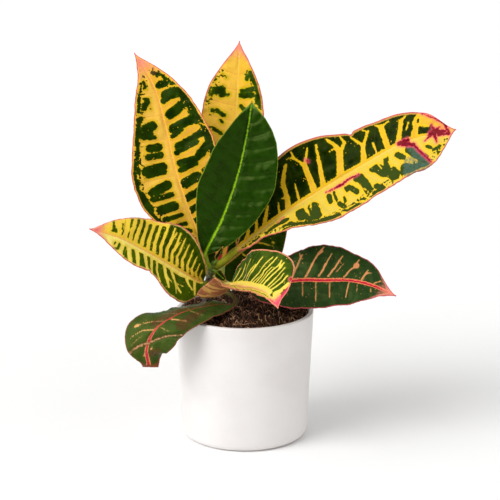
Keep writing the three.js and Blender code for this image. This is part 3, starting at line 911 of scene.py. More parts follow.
# %% The left leaf
# Yellow bands that nearly touch, so the green is left as stripes.
PATTERNS["leaf_left"] = {
    "ground": ("green", "green"),
    "strokes": [
        ("yellow", "left", [
            ((3, 1.5), 9, 14, 6, 80), ((2.6, 1.4), 16, 12, 12, 34, 9, 50),
            ((3.4, 2), 30, 12, 24, 50, 17, 70), ((1.6, 1), 24, 50, 16, 46),
            ((1.8, 1), 24, 50, 20, 82), ((3.6, 2), 36.5, 14, 33.5, 45, 28, 80),
            ((1.6, 1), 33, 50, 27, 58), ((3, 1.6), 43, 16, 41, 60, 36, 94),
            ((3.8, 2.5), 48, 18, 46.5, 60, 44, 98), ((4, 3), 54, 20, 52, 60, 49, 98),
            ((4.4, 3), 61, 18, 59, 60, 57, 96), ((5, 3.6), 67.5, 18, 66, 60, 63, 98),
            (9, 73, 30, 73, 96), (12, 80, 40, 84, 60), (8, 88, 50, 96, 20),
        ]),
        ("green", "left", [
            (3, 75.5, 42, 75.8, 72), (2.4, 70.3, 40, 70, 80), (2, 79, 46, 79.5, 60),
        ]),
        ("yellow", "right", [
            ((2.6, 0.9), 3, 8, 7.5, 34, 9, 66), ((2.8, 0.9), 7.5, 8, 12, 30, 13.5, 68),
            ((2.8, 0.9), 12, 8, 16.5, 30, 18, 72), ((2.8, 1), 16.5, 8, 21, 30, 22.5, 74),
            ((3, 1), 21.5, 8, 26, 30, 27, 76), ((3, 1.1), 26.5, 8, 30.5, 28, 31.5, 80),
            ((3, 1.2), 31.5, 8, 35, 28, 36, 82), ((1.2, 0.8), 35, 34, 33.5, 66),
            ((3.4, 1.4), 36.5, 8, 40, 30, 41, 88), ((1.4, 1), 40, 40, 38.5, 80),
            ((3.4, 1.8), 42, 8, 45, 30, 46, 90), ((3.6, 2.2), 47.5, 8, 50, 30, 50.5, 92),
            ((3.8, 2.4), 53, 8, 55, 34, 55, 94), ((4, 2.6), 58.5, 8, 60, 34, 60, 94),
            ((4, 3), 63.5, 8, 65, 34, 64.8, 94), ((4, 3), 68, 8, 69.5, 40, 69, 94),
            ((4.4, 3.6), 73, 10, 73.8, 94), (8, 79, 60, 79, 94), (4, 77.5, 8, 78, 60),
            (8, 86, 60, 87, 90), (10, 88, 10, 94, 30), (5, 47, 96, 60, 92),
        ]),
        ("green", "right", [
            ((4, 3), 82, 24, 82.4, 58), (1.2, 76.4, 40, 76.6, 70), (1.4, 70.8, 60, 71.5, 84),
            (1.2, 66, 74, 66.5, 90),
        ]),
        ("yellow", "left", [
            ((3, 5), 3, 6, 20, 8), ((5, 7), 20, 8, 55, 8), ((7, 8), 55, 8, 100, 0),
        ]),
        ("yellow", "right", [((2, 4), 3, 0, 30, 0), ((4, 8), 30, 0, 100, 0)]),
    ],
}

# %% The folded leaf in front
# Fine yellow lines, close together, on the half that stands up.
PATTERNS["leaf_front_right"] = {
    "ground": ("green", "yellow"),
    "strokes": [
        ("yellow", "left", [
            ((1.3, 0.8), 6, 10, 14, 70), ((1.4, 0.9), 13, 10, 22, 70),
            ((1.5, 0.9), 21, 10, 31, 76), ((1.3, 0.8), 26, 10, 38, 60),
            ((1.6, 1), 31, 12, 44, 80), ((1.7, 1.1), 40, 12, 54, 84),
            ((1.3, 0.8), 44, 12, 53, 50), ((1.6, 1.2), 49, 14, 59, 86),
            ((1.3, 0.9), 54, 14, 60, 60), ((1.8, 1.3), 59, 14, 65, 82),
            ((2.1, 1.5), 64, 14, 68, 82), ((1.4, 1), 66.5, 66, 64, 84),
            ((1.7, 1.3), 70, 14, 72, 76), ((1.5, 1.1), 74, 16, 75.5, 66),
            ((2, 1.5), 78, 16, 80, 74), (5, 85, 20, 87, 80), (10, 90, 20, 96, 30),
        ]),
        ("green", "left", [(2.4, 88, 60, 90, 66), (1.4, 82, 40, 82.5, 74)]),
        ("yellow", "left", [((2.5, 5), 0, 5, 20, 7), ((5, 5.5), 20, 7, 80, 6)]),
        ("green", "right", [((0.8, 1.3), 6, 30, 45, 36), ((1.3, 0.7), 45, 36, 84, 40)]),
    ],
}

# %% The lower right leaf
# Thin orange side ribs, some of them forked or ending in a dot.
PATTERNS["leaf_lower_right"] = {
    "ground": ("green", "green"),
    "strokes": [
        ("yellow", "left", [
            ((1.3, 0.7), 8, 8, 12, 70), ((1.4, 0.7), 16, 8, 21, 70), ((1.6, 0.9), 24, 8, 30, 76),
            ((1.9, 1.2), 31.6, 10, 34, 44, 38, 80), ((1.2, 0.7), 37, 70, 36, 90),
            ((2.2, 1.4), 40.5, 10, 45.3, 52, 48, 76), ((1.9, 1.2), 48, 76, 51.4, 92),
            ((1.2, 1.4), 47.6, 72, 50.5, 80), ((1.9, 1.6), 48.7, 12, 51.4, 28, 53, 44),
            ((1.3, 0.9), 52.5, 40, 57, 74), ((1.9, 1), 54.9, 12, 59, 36, 63.4, 74),
            ((1.7, 1), 65, 10, 68, 36, 71, 56), (4.4, 71.2, 56, 71.3, 60),
            ((1.4, 0.9), 71, 60, 72, 84), ((1.9, 0.9), 76, 12, 78, 60),
            ((1.2, 0.7), 77.5, 42, 80, 56), ((1.2, 0.9), 84, 16, 87, 60),
            ((0.6, 0.5), 60, 24, 64, 52),
        ]),
        ("yellow", "right", [
            ((1, 0.6), 10, 8, 12, 70), ((1.1, 0.6), 19, 8, 20, 66), ((1.2, 0.7), 28, 10, 29, 58),
            ((1.2, 1), 38.7, 10, 39.4, 58), ((1.2, 1.1), 47.3, 10, 48, 76),
            ((1.2, 1.2), 56, 10, 56.5, 66), ((1.2, 1.2), 68.5, 10, 67.4, 68),
            ((0.9, 0.7), 74, 14, 75, 50), ((0.7, 0.9), 83, 18, 84.5, 44),
        ]),
    ],
}

# %% The leaf over the rim
# A few faint dashes.
PATTERNS["leaf_lower_left"] = {
    "ground": ("green", "green"),
    "strokes": [
        ("yellow", "left", [
            ((1.3, 0.8), 56, 6, 52.5, 28, 49, 52), (1.8, 49, 50, 48.6, 54),
            ((0.8, 0.6), 66, 8, 63, 46), ((0.7, 0.5), 40, 8, 34, 60), ((1, 1.6), 84, 20, 83, 24),
        ]),
        ("yellow", "right", [
            ((1.2, 0.8), 70.5, 6, 75, 40, 82, 72), ((1.1, 0.8), 61, 6, 69, 44, 75.5, 76),
            (1.8, 73.8, 66, 75, 72), ((0.8, 0.5), 50, 6, 58, 60), ((0.7, 0.5), 40, 8, 46, 60),
            ((0.7, 0.6), 78, 30, 85, 66), ((1.2, 0.8), 86, 4, 90, 14),
        ]),
    ],
}

# %% The leaf in the shade
# Short yellow strokes that follow the side ribs.
PATTERNS["leaf_back_right"] = {
    "ground": ("green", "green"),
    "strokes": [
        ("yellow", "left", [
            ((2.4, 1), 26.6, 6, 32.1, 60), ((2.4, 1.2), 39.4, 6, 44.9, 66),
            ((2.4, 1.2), 52.3, 6, 57.8, 70), ((2, 1), 65.1, 6, 70.6, 70),
            ((2, 1), 78, 6, 81.6, 60), (2, 48.6, 40, 49.5, 48), (1.6, 35.7, 62, 36.7, 66),
        ]),
        ("yellow", "right", [
            ((2, 1), 26.6, 8, 33.9, 60), ((2.2, 1), 41.2, 8, 48.6, 60),
            ((2, 1), 55.9, 8, 63.3, 60), ((1.6, 1), 70.6, 10, 76.1, 60), (2, 50.4, 50, 50.9, 56),
        ]),
        ("yellow", "left", [((2, 1.6), 8.2, 0, 90.8, 0)]),
    ],
}

# %% Count the strokes
for name, pattern in PATTERNS.items():
    print(name, "takes", sum(len(strokes) for _, _, strokes in pattern["strokes"]), "strokes")

# %% [markdown]
# Marks lie over the paint: wine-red stains, brown patches and a painted grey-green sheen
# that dull it like a thin film, and the crease where a leaf was once bent.  They are
# strokes as well.

# %% Stains, brown patches, painted sheen and creases
STAINS = {
    "leaf_right": [
        ("right", [((1.2, 3.2), 43, 14, 45, 15, 49, 16), ((3.4, 1.8), 49, 16, 54, 15, 58, 18)]),
        ("right", [((0.4, 0.9), 20, 24, 23.5, 24), ((5.5, 4), 79, 3, 83, 15)]),
        ("right", [((3, 1.8), 83, 15, 85, 41, 87, 63, 89, 89), ((4, 1), 91.5, 2, 92, 37)]),
        ("right", [
            ((4, 2), 93, 4, 97, 30), ((3, 1), 90, 2, 87.5, 14), ((2.6, 3), 97, 4, 97, 40),
        ]),
        ("left", [
            ((5, 4), 77.5, 3, 81, 3), ((5, 6.5), 90, 4, 92, 14), ((3.6, 1), 91.5, 18, 91, 50),
        ]),
        ("left", [
            ((4, 1.4), 91.5, 18, 94, 42), ((5, 3.6), 91.5, 14, 95.5, 3),
            ((3.4, 1.2), 91.5, 10, 89, 2),
        ]),
        ("left", [((3, 2.4), 96, 98, 96.5, 39, 97, 4), ((1, 2), 88, 95, 95.5, 97)]),
        ("left", [(1.3, 42.5, 60, 42, 66)]),
    ],
    "leaf_front_right": [
        ("left", [(3, 84.6, 90, 85.4, 93)]),
    ],
    "leaf_lower_left": [
        ("right", [((1.3, 1.3), 88, 80, 80.6, 0)]),
        ("left", [((1.3, 1.1), 80.6, 0, 71, 40, 56, 95)]),
    ],
    "leaf_crown_upper": [
        ("right", [(2.2, 26, 40, 48, 50)]),
    ],
}
SHEEN_AND_PATCHES = {
    # the grey-green film on this half is painted sheen, where the half catches the light
    "leaf_right": [
        ("right", [((6, 12), 81, 16, 85, 60), (13, 78.5, 84, 86, 84), (12, 79, 62, 84, 62)]),
    ],
    # brown patches in the leaf's own colour
    "leaf_lower_left": [
        ("left", [((4, 12), 30, 30, 52, 60), (8, 84, 60, 88, 30)]),
        ("right", [((6, 9), 20, 40, 66, 20)]),
    ],
}
CREASES = {
    "leaf_right": [
        ("right", [(2, 82, 6, 86, 40, 89.6, 84)]),
    ],
    "leaf_lower_left": [
        ("right", [(2, 87, 60, 80.6, 0)]),
        ("left", [(2, 80.6, 0, 71, 40, 56, 95)]),
    ],
}

# %% [markdown]
# ## The leaf laid flat
# Everything painted on a leaf is worked out on a flat chart first: how far along the
# midrib, and how far aside from it.  The rows are close together, because the pattern's
# strokes run across them.

# %% Lay a leaf flat
ROW_STEP = 0.8
COLUMN_STEP = 1.3
STALK_STEP = 1.2
FEWEST_COLUMNS = 12  # to each side of the midrib
CROWDING = 1.15  # over 1, so that the columns crowd together at the midrib
TIP_HALF_WIDTH = 0.5
LEG_STEPS = 60


def half_widths(leaf, side, stations, notches=()):
    """The smooth half width, less depth · bell(station - centre, length) for each notch
    on that side."""
    width = at_stations(leaf[side], stations)
    for notched_side, centre, depth, length in notches:
        if notched_side == side:
            width = width - depth * bell(stations - centre, length)
    return np.maximum(width, TIP_HALF_WIDTH)


def lay_flat(leaf, notches):
    """A grid of rows along the stalk and midrib, and columns from -1 at the right margin
    to 1 at the left.  aside = across · half width, along = distance from the base."""
    path = smooth_path(leaf["petiole"] + leaf["midrib"], LEG_STEPS)
    walked = lengths_along(path)
    base = walked[LEG_STEPS * len(leaf["petiole"])]
    length = walked[-1] - base
    stalk_rows = np.arange(0, base, STALK_STEP) - base
    blade_rows = np.linspace(0, length, round(length / ROW_STEP))
    along = np.concatenate([stalk_rows, blade_rows])
    half_columns = max(FEWEST_COLUMNS, round(max(leaf["left"] + leaf["right"]) / COLUMN_STEP))
    spread = np.linspace(-1, 1, 2 * half_columns + 1)
    across = np.sign(spread) * np.abs(spread) ** CROWDING
    stations = np.clip(along / length, 0, 1)
    left, right = (half_widths(leaf, side, stations, notches) for side in ("left", "right"))
    width = np.where(across >= 0, left[:, None], right[:, None])
    grid = np.broadcast_to(along[:, None], width.shape)
    centres = at_distances(path, path, base + along)
    tangents = unit(at_distances(path, np.gradient(path, walked, axis=0), base + along))
    return {
        "leaf": leaf, "length": length, "stations": stations, "across": across, "width": width,
        "aside": across * width, "along": grid, "centres": centres, "tangents": tangents,
    }


def rib_distance(chart, ribs):
    """Millimetres along the blade to the nearest side rib.  A rib that starts at r has
    reached r + rise · across^1.5, so the rise is taken off before comparing."""
    share = np.abs(chart["across"]) ** 1.5
    station = 100 * chart["along"] / chart["length"]
    nearest = [
        np.abs((station - rise * share)[..., None] - ribs[side]).min(axis=-1)
        for side, rise in zip(("left", "right"), ribs["rise"])
    ]
    return np.where(chart["across"] >= 0, *nearest) * chart["length"] / 100

# %% [markdown]
# ## How far inside a stroke
# A stroke becomes a field: the number of millimetres that each point lies inside it, and
# below zero outside.  Fields melt together with a rounded maximum, as wet paint does, and
# taking the smaller of two cuts one out of the other.  A painted image would need its own
# resolution, but a field stays sharp at any size.

# %% Fields from strokes
GROUND = {"yellow": 6.0, "green": -6.0}
FAR_OUTSIDE = -50.0


def stroke_field(chart, side, stroke):
    """Half the width of the stroke less the distance to its line.  On each leg, the
    nearest point is at share t = (p - start)·leg / |leg|², kept between 0 and 1."""
    width, *numbers = stroke
    start_width, stop_width = width if isinstance(width, tuple) else (width, width)
    stations, out = np.array(numbers, float).reshape(-1, 2).T / 100
    half_width = half_widths(chart["leaf"], side, stations)
    sign = 1 if side == "left" else -1
    line = np.stack([sign * out * half_width, stations * chart["length"]], axis=-1)
    place = np.stack([chart["aside"], chart["along"]], axis=-1)
    shares = lengths_along(line) / lengths_along(line)[-1]
    field = np.full(place.shape[:-1], FAR_OUTSIDE)
    for start, stop, first, last in zip(line, line[1:], shares, shares[1:]):
        leg = stop - start
        share = np.clip((place - start) @ leg / (leg @ leg), 0, 1)
        distance = np.linalg.norm(place - start - share[..., None] * leg, axis=-1)
        reached = first + share * (last - first)
        drawn = start_width + (stop_width - start_width) * reached
        field = np.maximum(field, drawn / 2 - distance)
    return field


def melt(first, second, reach=1.5):
    """The larger of two fields, with the corner between them rounded over `reach`."""
    share = np.clip(0.5 + 0.5 * (first - second) / reach, 0, 1)
    return second + (first - second) * share + reach * share * (1 - share)


def group_field(chart, side, strokes):
    """All the strokes of one group melted together."""
    field = np.full(chart["along"].shape, FAR_OUTSIDE)
    for stroke in strokes:
        field = melt(stroke_field(chart, side, stroke), field)
    return field


def pattern_field(chart, pattern):
    """Above zero where the leaf is yellow.  Yellow groups are added to what is there,
    and green groups are cut out of it, in the order of the list."""
    left, right = pattern["ground"]
    field = np.where(chart["across"] >= 0, GROUND[left], GROUND[right]) + 0 * chart["along"]
    for paint, side, strokes in pattern["strokes"]:
        group = group_field(chart, side, strokes)
        field = np.maximum(field, group) if paint == "yellow" else np.minimum(field, -group)
    return field


def marks_field(chart, groups):
    """Stains, patches and painted sheen, or creases: one field for all the groups."""
    field = np.full(chart["along"].shape, FAR_OUTSIDE)
    for side, strokes in groups:
        field = np.maximum(field, group_field(chart, side, strokes))
    return field

# %% [markdown]
# ## From the chart into space
# Now the flat chart is bent into shape.  Each half of a cross section is an arc, and the
# stalk is a circle that opens into the blade over the first millimetres.  The relief is
# added along the surface's own direction: a shallow channel over the midrib, bulges
# between the side ribs, a ripple that grows towards the margin, and slow swells so that
# no part of the blade is perfectly smooth.

# %% Relief of a blade
CHANNEL = {"depth": 0.5, "width": 1.1, "lost_at_tip": 0.6}
RIB_VALLEY = 2.2  # half the width of the dip that a side rib draws in the blade
MARGIN_WAVES = [(1.0, 41, 15), (0.5, 42, 6)]
SWELLS = [(0.7, 43, 34), (0.16, 44, 9)]
FOLD = {"depth": 0.9, "width": 1.3}


def relief(chart, ribs, creases, bulge, ripple):
    """Height above the plain arc: bulges + ripple + swells - creases - channel.  All but
    the channel die away at the midrib and at both ends."""
    station = np.clip(chart["along"] / chart["length"], 0, 1)
    aside = np.abs(chart["aside"])
    out = np.abs(chart["across"])
    flat = np.stack([chart["aside"], chart["along"]], axis=-1)
    channel = CHANNEL["depth"] * bell(aside, CHANNEL["width"])
    channel = channel * (1 - CHANNEL["lost_at_tip"] * station)
    between = 1 - bell(rib_distance(chart, ribs), RIB_VALLEY)
    bulges = bulge * between * ease(aside, 0, 4) * ease(1 - out, -0.05, 0.25)
    margin = ripple * out**4 * layered_waves(flat, MARGIN_WAVES)
    fold = FOLD["depth"] * bell(np.minimum(marks_field(chart, creases), 0), FOLD["width"])
    ends = ease(station, 0, 0.06) * ease(1 - station, 0, 0.05)
    uneven = (bulges + margin + layered_waves(flat, SWELLS) - fold) * ends * ease(aside, -1, 3)
    return uneven - channel * ease(station, 0, 0.05)

# %% [markdown]
# The bend itself is two arcs, one for each half, which meet at the midrib.

# %% Bend the blade
def bend_blade(chart, height):
    """Each half leaves the midrib at the slope a = tilt - curl/2 and bends evenly to
    a + curl.  With R = (width / curl) · (curl/2) / sin(curl/2), a point of the arc lies
    R (sin slope - sin a) aside and R (cos a - cos slope) above.  Gives the points of the
    middle surface and the direction that the surface faces at each."""
    leaf = chart["leaf"]
    up, left = square_axes(chart["tangents"], leaf["face"])
    across, stations = chart["across"], chart["stations"]
    tilts = (at_stations(leaf[side], stations)[:, None] for side in ("left_tilt", "right_tilt"))
    tilt = np.radians(np.where(across >= 0, *tilts))
    curl = np.radians(np.where(across >= 0, *leaf["curl"]))
    start = tilt - curl / 2
    slope = start + curl * np.abs(across)
    reach = chart["width"] / 2 / np.sin(curl / 2)
    aside = np.sign(across) * reach * (np.sin(slope) - np.sin(start))
    above = reach * (np.cos(start) - np.cos(slope))
    offset = aside[..., None] * left[:, None] + above[..., None] * up[:, None]
    points = chart["centres"][:, None] + offset
    turn = np.sign(across) * slope * ease(np.abs(chart["aside"]), 0, 3)
    facing = np.cos(turn)[..., None] * up[:, None] - np.sin(turn)[..., None] * left[:, None]
    return points + height[..., None] * facing, facing

# %% [markdown]
# A blade is a fraction of a millimetre thick, and its ribs stand proud below.  At the
# base, the closed section turns into the round section of the stalk.

# %% Close the blade and open the stalk
HALF_THICKNESS = {"midrib": 0.5, "margin": 0.28}
SIDE_RIB = {"height": 0.3, "width": 0.6}
OPENING = 5  # the stalk opens into the blade over this length


def leaf_rings(chart, height, ribs):
    """Closed rings: the upper side from right to left, and the underside back.  The rib
    below the midrib stands proud by stalk · (1 - station) in a bell-shaped section."""
    points, facing = bend_blade(chart, height)
    station = chart["stations"][:, None]
    thin, thick = HALF_THICKNESS["margin"], HALF_THICKNESS["midrib"]
    half = thick + (thin - thick) * np.abs(chart["across"]) * np.ones_like(station)
    stalk = chart["leaf"]["stalk"]
    rib = stalk * (1 - station) * bell(chart["aside"], stalk * (1.1 - 0.5 * station))
    side_ribs = SIDE_RIB["height"] * bell(rib_distance(chart, ribs), SIDE_RIB["width"])
    side_ribs = side_ribs * (1 - np.abs(chart["across"]))
    upper = points + half[..., None] * facing
    lower = points - (half + rib + side_ribs)[..., None] * facing
    blade = np.concatenate([upper, lower[:, ::-1]], axis=1)
    up, left = square_axes(chart["tangents"], chart["leaf"]["face"])
    count = blade.shape[1]
    angles = np.pi - 2 * np.pi * (np.arange(count) + 0.5) / count
    cosines, sines = np.cos(angles)[:, None], np.sin(angles)[:, None]
    circle = stalk * (cosines * left[:, None] + sines * up[:, None])
    opened = ease(chart["along"][:, :1], 0, OPENING)[..., None]
    return (chart["centres"][:, None] + circle) * (1 - opened) + blade * opened

# %% [markdown]
# The material can't know where a point lies on its leaf, so each point carries that.

# %% What the material reads
def both_sides(values):
    """Chart values in the order of the rings' points, with one more for each closed end."""
    ring = np.concatenate([values, values[:, ::-1]], axis=1)
    width = ring.shape[2:]
    ends = ring[[0, -1]].mean(axis=1).reshape(2, *width)
    return np.concatenate([ring.reshape(-1, *width), ends])


def leaf_measures(name, chart, ribs):
    """What the material reads at each point, all in millimetres but the shares."""
    out = np.abs(chart["across"])
    station = chart["along"] / chart["length"]
    margin = np.minimum((1 - out) * chart["width"], (1 - station) * chart["length"])
    under = np.zeros_like(station)
    depth = np.concatenate([under, under + 1], axis=1)
    depth_at_ends = depth[[0, -1]].mean(axis=1)
    flat = np.stack([chart["aside"], chart["along"], under], axis=-1)
    return {
        "yellow": both_sides(pattern_field(chart, PATTERNS[name])),
        "stain": both_sides(marks_field(chart, STAINS.get(name, []))),
        "sheen_and_patch": both_sides(marks_field(chart, SHEEN_AND_PATCHES.get(name, []))),
        "rib": both_sides(rib_distance(chart, ribs)),
        "rim": both_sides(margin),
        "station": both_sides(station),
        "aside": both_sides(chart["aside"]),
        "stalk": both_sides(1 - ease(chart["along"], 0, OPENING)),
        "under": np.concatenate([depth.ravel(), depth_at_ends]),
        "flat": both_sides(flat),
    }

# %% [markdown]
# ## The skin of a leaf
# One recipe paints all the leaves, and a table of looks sets the colours.  The order is
# that of glazes: the greens, the yellow over them with frayed edges and side ribs, the
# midrib and its border, the blush at the tip, the rim with a pale lining inside it, the
# brown patches and the painted sheen, and last the stains.  The underside is duller, with
# faint veins.  Croton leaves are waxy, so the finish is smooth but never mirror bright, and
# a net of tiny veins breaks up the shine.
#
# Colours are picked on a 0 to 255 scale.  A pair is for the left and right half, or, in
# a width, for the base and the tip in millimetres.  `fray` is how far the coarse and the
# fine noise move an edge, and `seam` the colour of the yellow next to green.  `freckles`
# is how deep the green eats into the yellow near the margin, `dots_from` how far out in
# the green, below zero, yellow dots may lie, and `lining` how well the border's colour
# covers inside the rim.

# %% The looks of the tall leaves
USUAL_LOOK = {
    "freckles": (0, 0), "dots_from": -4.5, "border_width": (0, 0), "lines_from": 0, "lining": 0,
    "tip_full": 1.0, "gloss": 0.1,
}
LOOKS = {
    "leaf_upper_left": {
        "green": ((22, 42, 0), (14, 35, 0)), "pale_green": (48, 80, 0),
        "yellow": ((250, 202, 80), (232, 174, 58)), "rib": (232, 146, 62), "seam": (222, 178, 14),
        "fray": (2.4, 0.8), "freckles": (6, 3),
        "midrib": (236, 158, 82), "midrib_width": (-0.2, 0.6), "border": (247, 190, 74),
        "border_width": (1.6, 1.6),
        "rim": (222, 66, 92), "rim_width": 0.7, "lining": 0.8, "tip": (250, 134, 136),
        "tip_from": 0.845, "tip_full": 0.98,
        "stalk": (150, 170, 60), "under": (128, 118, 62),
    },
    "leaf_upper_back": {
        "green": ((22, 45, 0), (25, 48, 0)), "pale_green": (80, 108, 4),
        "yellow": ((254, 204, 72), (250, 196, 60)), "rib": (236, 150, 60), "seam": (216, 186, 16),
        "fray": (2.4, 0.8), "freckles": (4, 2),
        "midrib": (250, 206, 90), "midrib_width": (0.8, 0.35), "border": (244, 176, 84),
        "rim": (218, 62, 84), "rim_width": 0.8, "lining": 0.5, "tip": (250, 128, 138),
        "tip_from": 0.9,
        "stalk": (160, 185, 90), "under": (128, 118, 62),
    },
    "leaf_front_green": {
        "green": ((16, 46, 0), (17, 48, 0)), "pale_green": (34, 78, 2),
        "yellow": ((190, 190, 60), (190, 190, 60)), "rib": (50, 100, 20), "seam": (190, 190, 60),
        "fray": (1, 0.5),
        "midrib": (150, 186, 10), "midrib_width": (0.9, 0.3), "border": (60, 110, 30),
        "border_width": (1.8, 0.8),
        "rim": (120, 140, 40), "rim_width": 0.5, "tip": (90, 130, 40), "tip_from": 0.94,
        "stalk": (150, 180, 50), "under": (70, 100, 40), "gloss": 0.2,
    },
}

# %% The looks of the leaves that reach out
LOOKS |= {
    "leaf_right": {
        # the right half's green is lighter and greyer than the left's: painted sheen on that half
        "green": ((6, 24, 0), (54, 69, 22)), "pale_green": (60, 76, 8),
        "yellow": ((230, 178, 52), (222, 196, 74)), "rib": (238, 176, 70), "seam": (232, 190, 14),
        "fray": (2.2, 0.7), "freckles": (0, 9),
        "midrib": (240, 200, 90), "midrib_width": (1.2, 0.5), "border": (250, 190, 84),
        "rim": (206, 84, 96), "rim_width": 1.2, "lining": 0.6, "tip": (196, 160, 96),
        "tip_from": 0.97,
        "stalk": (136, 152, 30), "under": (70, 90, 20), "gloss": 0.07,
    },
    "leaf_left": {
        "green": ((56, 80, 2), (32, 54, 0)), "pale_green": (96, 112, 2),
        "yellow": ((255, 242, 130), (248, 200, 76)), "rib": (240, 180, 80),
        "seam": (234, 204, 50),
        "fray": (1.3, 0.6),
        "midrib": (240, 180, 100), "midrib_width": (0.6, 0.3), "border": (248, 216, 110),
        "rim": (222, 84, 104), "rim_width": 0.8, "lining": 0.5, "tip": (248, 84, 140),
        "tip_from": 0.86, "tip_full": 0.97,
        "stalk": (120, 140, 40), "under": (128, 118, 62),
    },
    "leaf_front_right": {
        "green": ((38, 64, 6), (60, 80, 26)), "pale_green": (100, 118, 24),
        "yellow": ((242, 216, 100), (216, 148, 92)), "rib": (240, 200, 96),
        "seam": (236, 214, 70),
        "fray": (0.9, 0.4),
        "midrib": (240, 196, 110), "midrib_width": (1.0, 0.5), "border": (242, 216, 110),
        "rim": (240, 150, 116), "rim_width": 1.1, "tip": (244, 36, 108), "tip_from": 0.86,
        "tip_full": 0.94,
        "stalk": (186, 186, 96), "under": (120, 52, 44), "gloss": 0.12,
    },
    "leaf_lower_right": {
        "green": ((36, 58, 26), (38, 60, 28)), "pale_green": (56, 86, 36),
        "yellow": ((238, 148, 84), (238, 148, 84)), "rib": (64, 92, 44), "seam": (226, 150, 100),
        "fray": (0.9, 0.4), "dots_from": -8.0,
        "midrib": (205, 26, 62), "midrib_width": (1.5, 0.7), "border": (240, 138, 92),
        "border_width": (2.7, 1.6),
        "rim": (206, 84, 92), "rim_width": 0.9, "tip": (244, 150, 130), "tip_from": 0.86,
        "tip_full": 0.97,
        "stalk": (196, 80, 60), "under": (120, 90, 60), "gloss": 0.12,
    },
    "leaf_lower_left": {
        "green": ((52, 72, 24), (58, 76, 26)), "pale_green": (88, 98, 40),
        "yellow": ((226, 160, 96), (226, 160, 96)), "rib": (80, 108, 52), "seam": (226, 160, 100),
        "fray": (0.9, 0.4),
        "midrib": (196, 52, 62), "midrib_width": (0.25, 1.3), "border": (226, 150, 104),
        "border_width": (-0.4, 2.2), "lines_from": 0.35,
        "rim": (150, 82, 60), "rim_width": 0.8, "tip": (120, 64, 44), "tip_from": 0.97,
        "stalk": (74, 70, 40), "under": (90, 70, 44), "gloss": 0.12,
    },
}

# %% The looks of the rest
LOOKS |= {
    "leaf_back_right": {
        "green": ((22, 46, 0), (30, 54, 0)), "pale_green": (60, 86, 6),
        "yellow": ((232, 196, 76), (232, 196, 76)), "rib": (60, 84, 30), "seam": (206, 170, 30),
        "fray": (1.4, 0.5),
        "midrib": (196, 150, 70), "midrib_width": (0.9, 0.4), "border": (196, 160, 80),
        "rim": (150, 84, 60), "rim_width": 0.8, "tip": (210, 110, 90), "tip_from": 0.95,
        "stalk": (110, 130, 60), "under": (90, 90, 40),
    },
    "leaf_crown_upper": {
        "green": ((8, 28, 0), (8, 28, 0)), "pale_green": (24, 50, 0),
        "yellow": ((190, 190, 60), (190, 190, 60)), "rib": (80, 110, 36), "seam": (190, 190, 60),
        "fray": (1, 0.5),
        "midrib": (96, 124, 24), "midrib_width": (0.5, 0.2), "border": (80, 120, 40),
        "rim": (170, 120, 60), "rim_width": 0.4, "tip": (190, 140, 70), "tip_from": 0.9,
        "stalk": (110, 136, 40), "under": (96, 120, 44),
    },
}
LOOKS["leaf_crown_lower"] = LOOKS["leaf_crown_upper"]
LOOKS = {name: USUAL_LOOK | look for name, look in LOOKS.items()}
print(len(LOOKS), "looks of", len(LOOKS["leaf_right"]), "values each")

# %% The colours of the marks
# the film (brown patches, and painted sheen on the right leaf), the halo of a stain, its edge, and
# its middle
STAIN_COLOURS = {
    # the right leaf's film colour is a painted grey-green sheen
    "leaf_right": ((76, 106, 96), (238, 84, 116), (202, 26, 76), (124, 6, 38)),
    "leaf_front_right": ((90, 60, 40), (240, 130, 110), (206, 62, 70), (170, 30, 50)),
    "leaf_lower_left": ((92, 50, 34), (70, 60, 34), (190, 136, 96), (204, 150, 106)),
    "leaf_crown_upper": ((90, 60, 40), (90, 50, 30), (150, 30, 46), (150, 14, 36)),
}
GREENISH = (0.8, 1.0, 0.25, 1.0)  # the wax lets little blue through
NO_STAIN = ((90, 60, 40),) * 4

# %% The leaf recipe
def by_side(recipe, left_share, pair):
    """The first colour of the pair on the left half, the second on the right half."""
    left, right = (colour(*shade) for shade in pair)
    return recipe.blend(left_share, right, left)


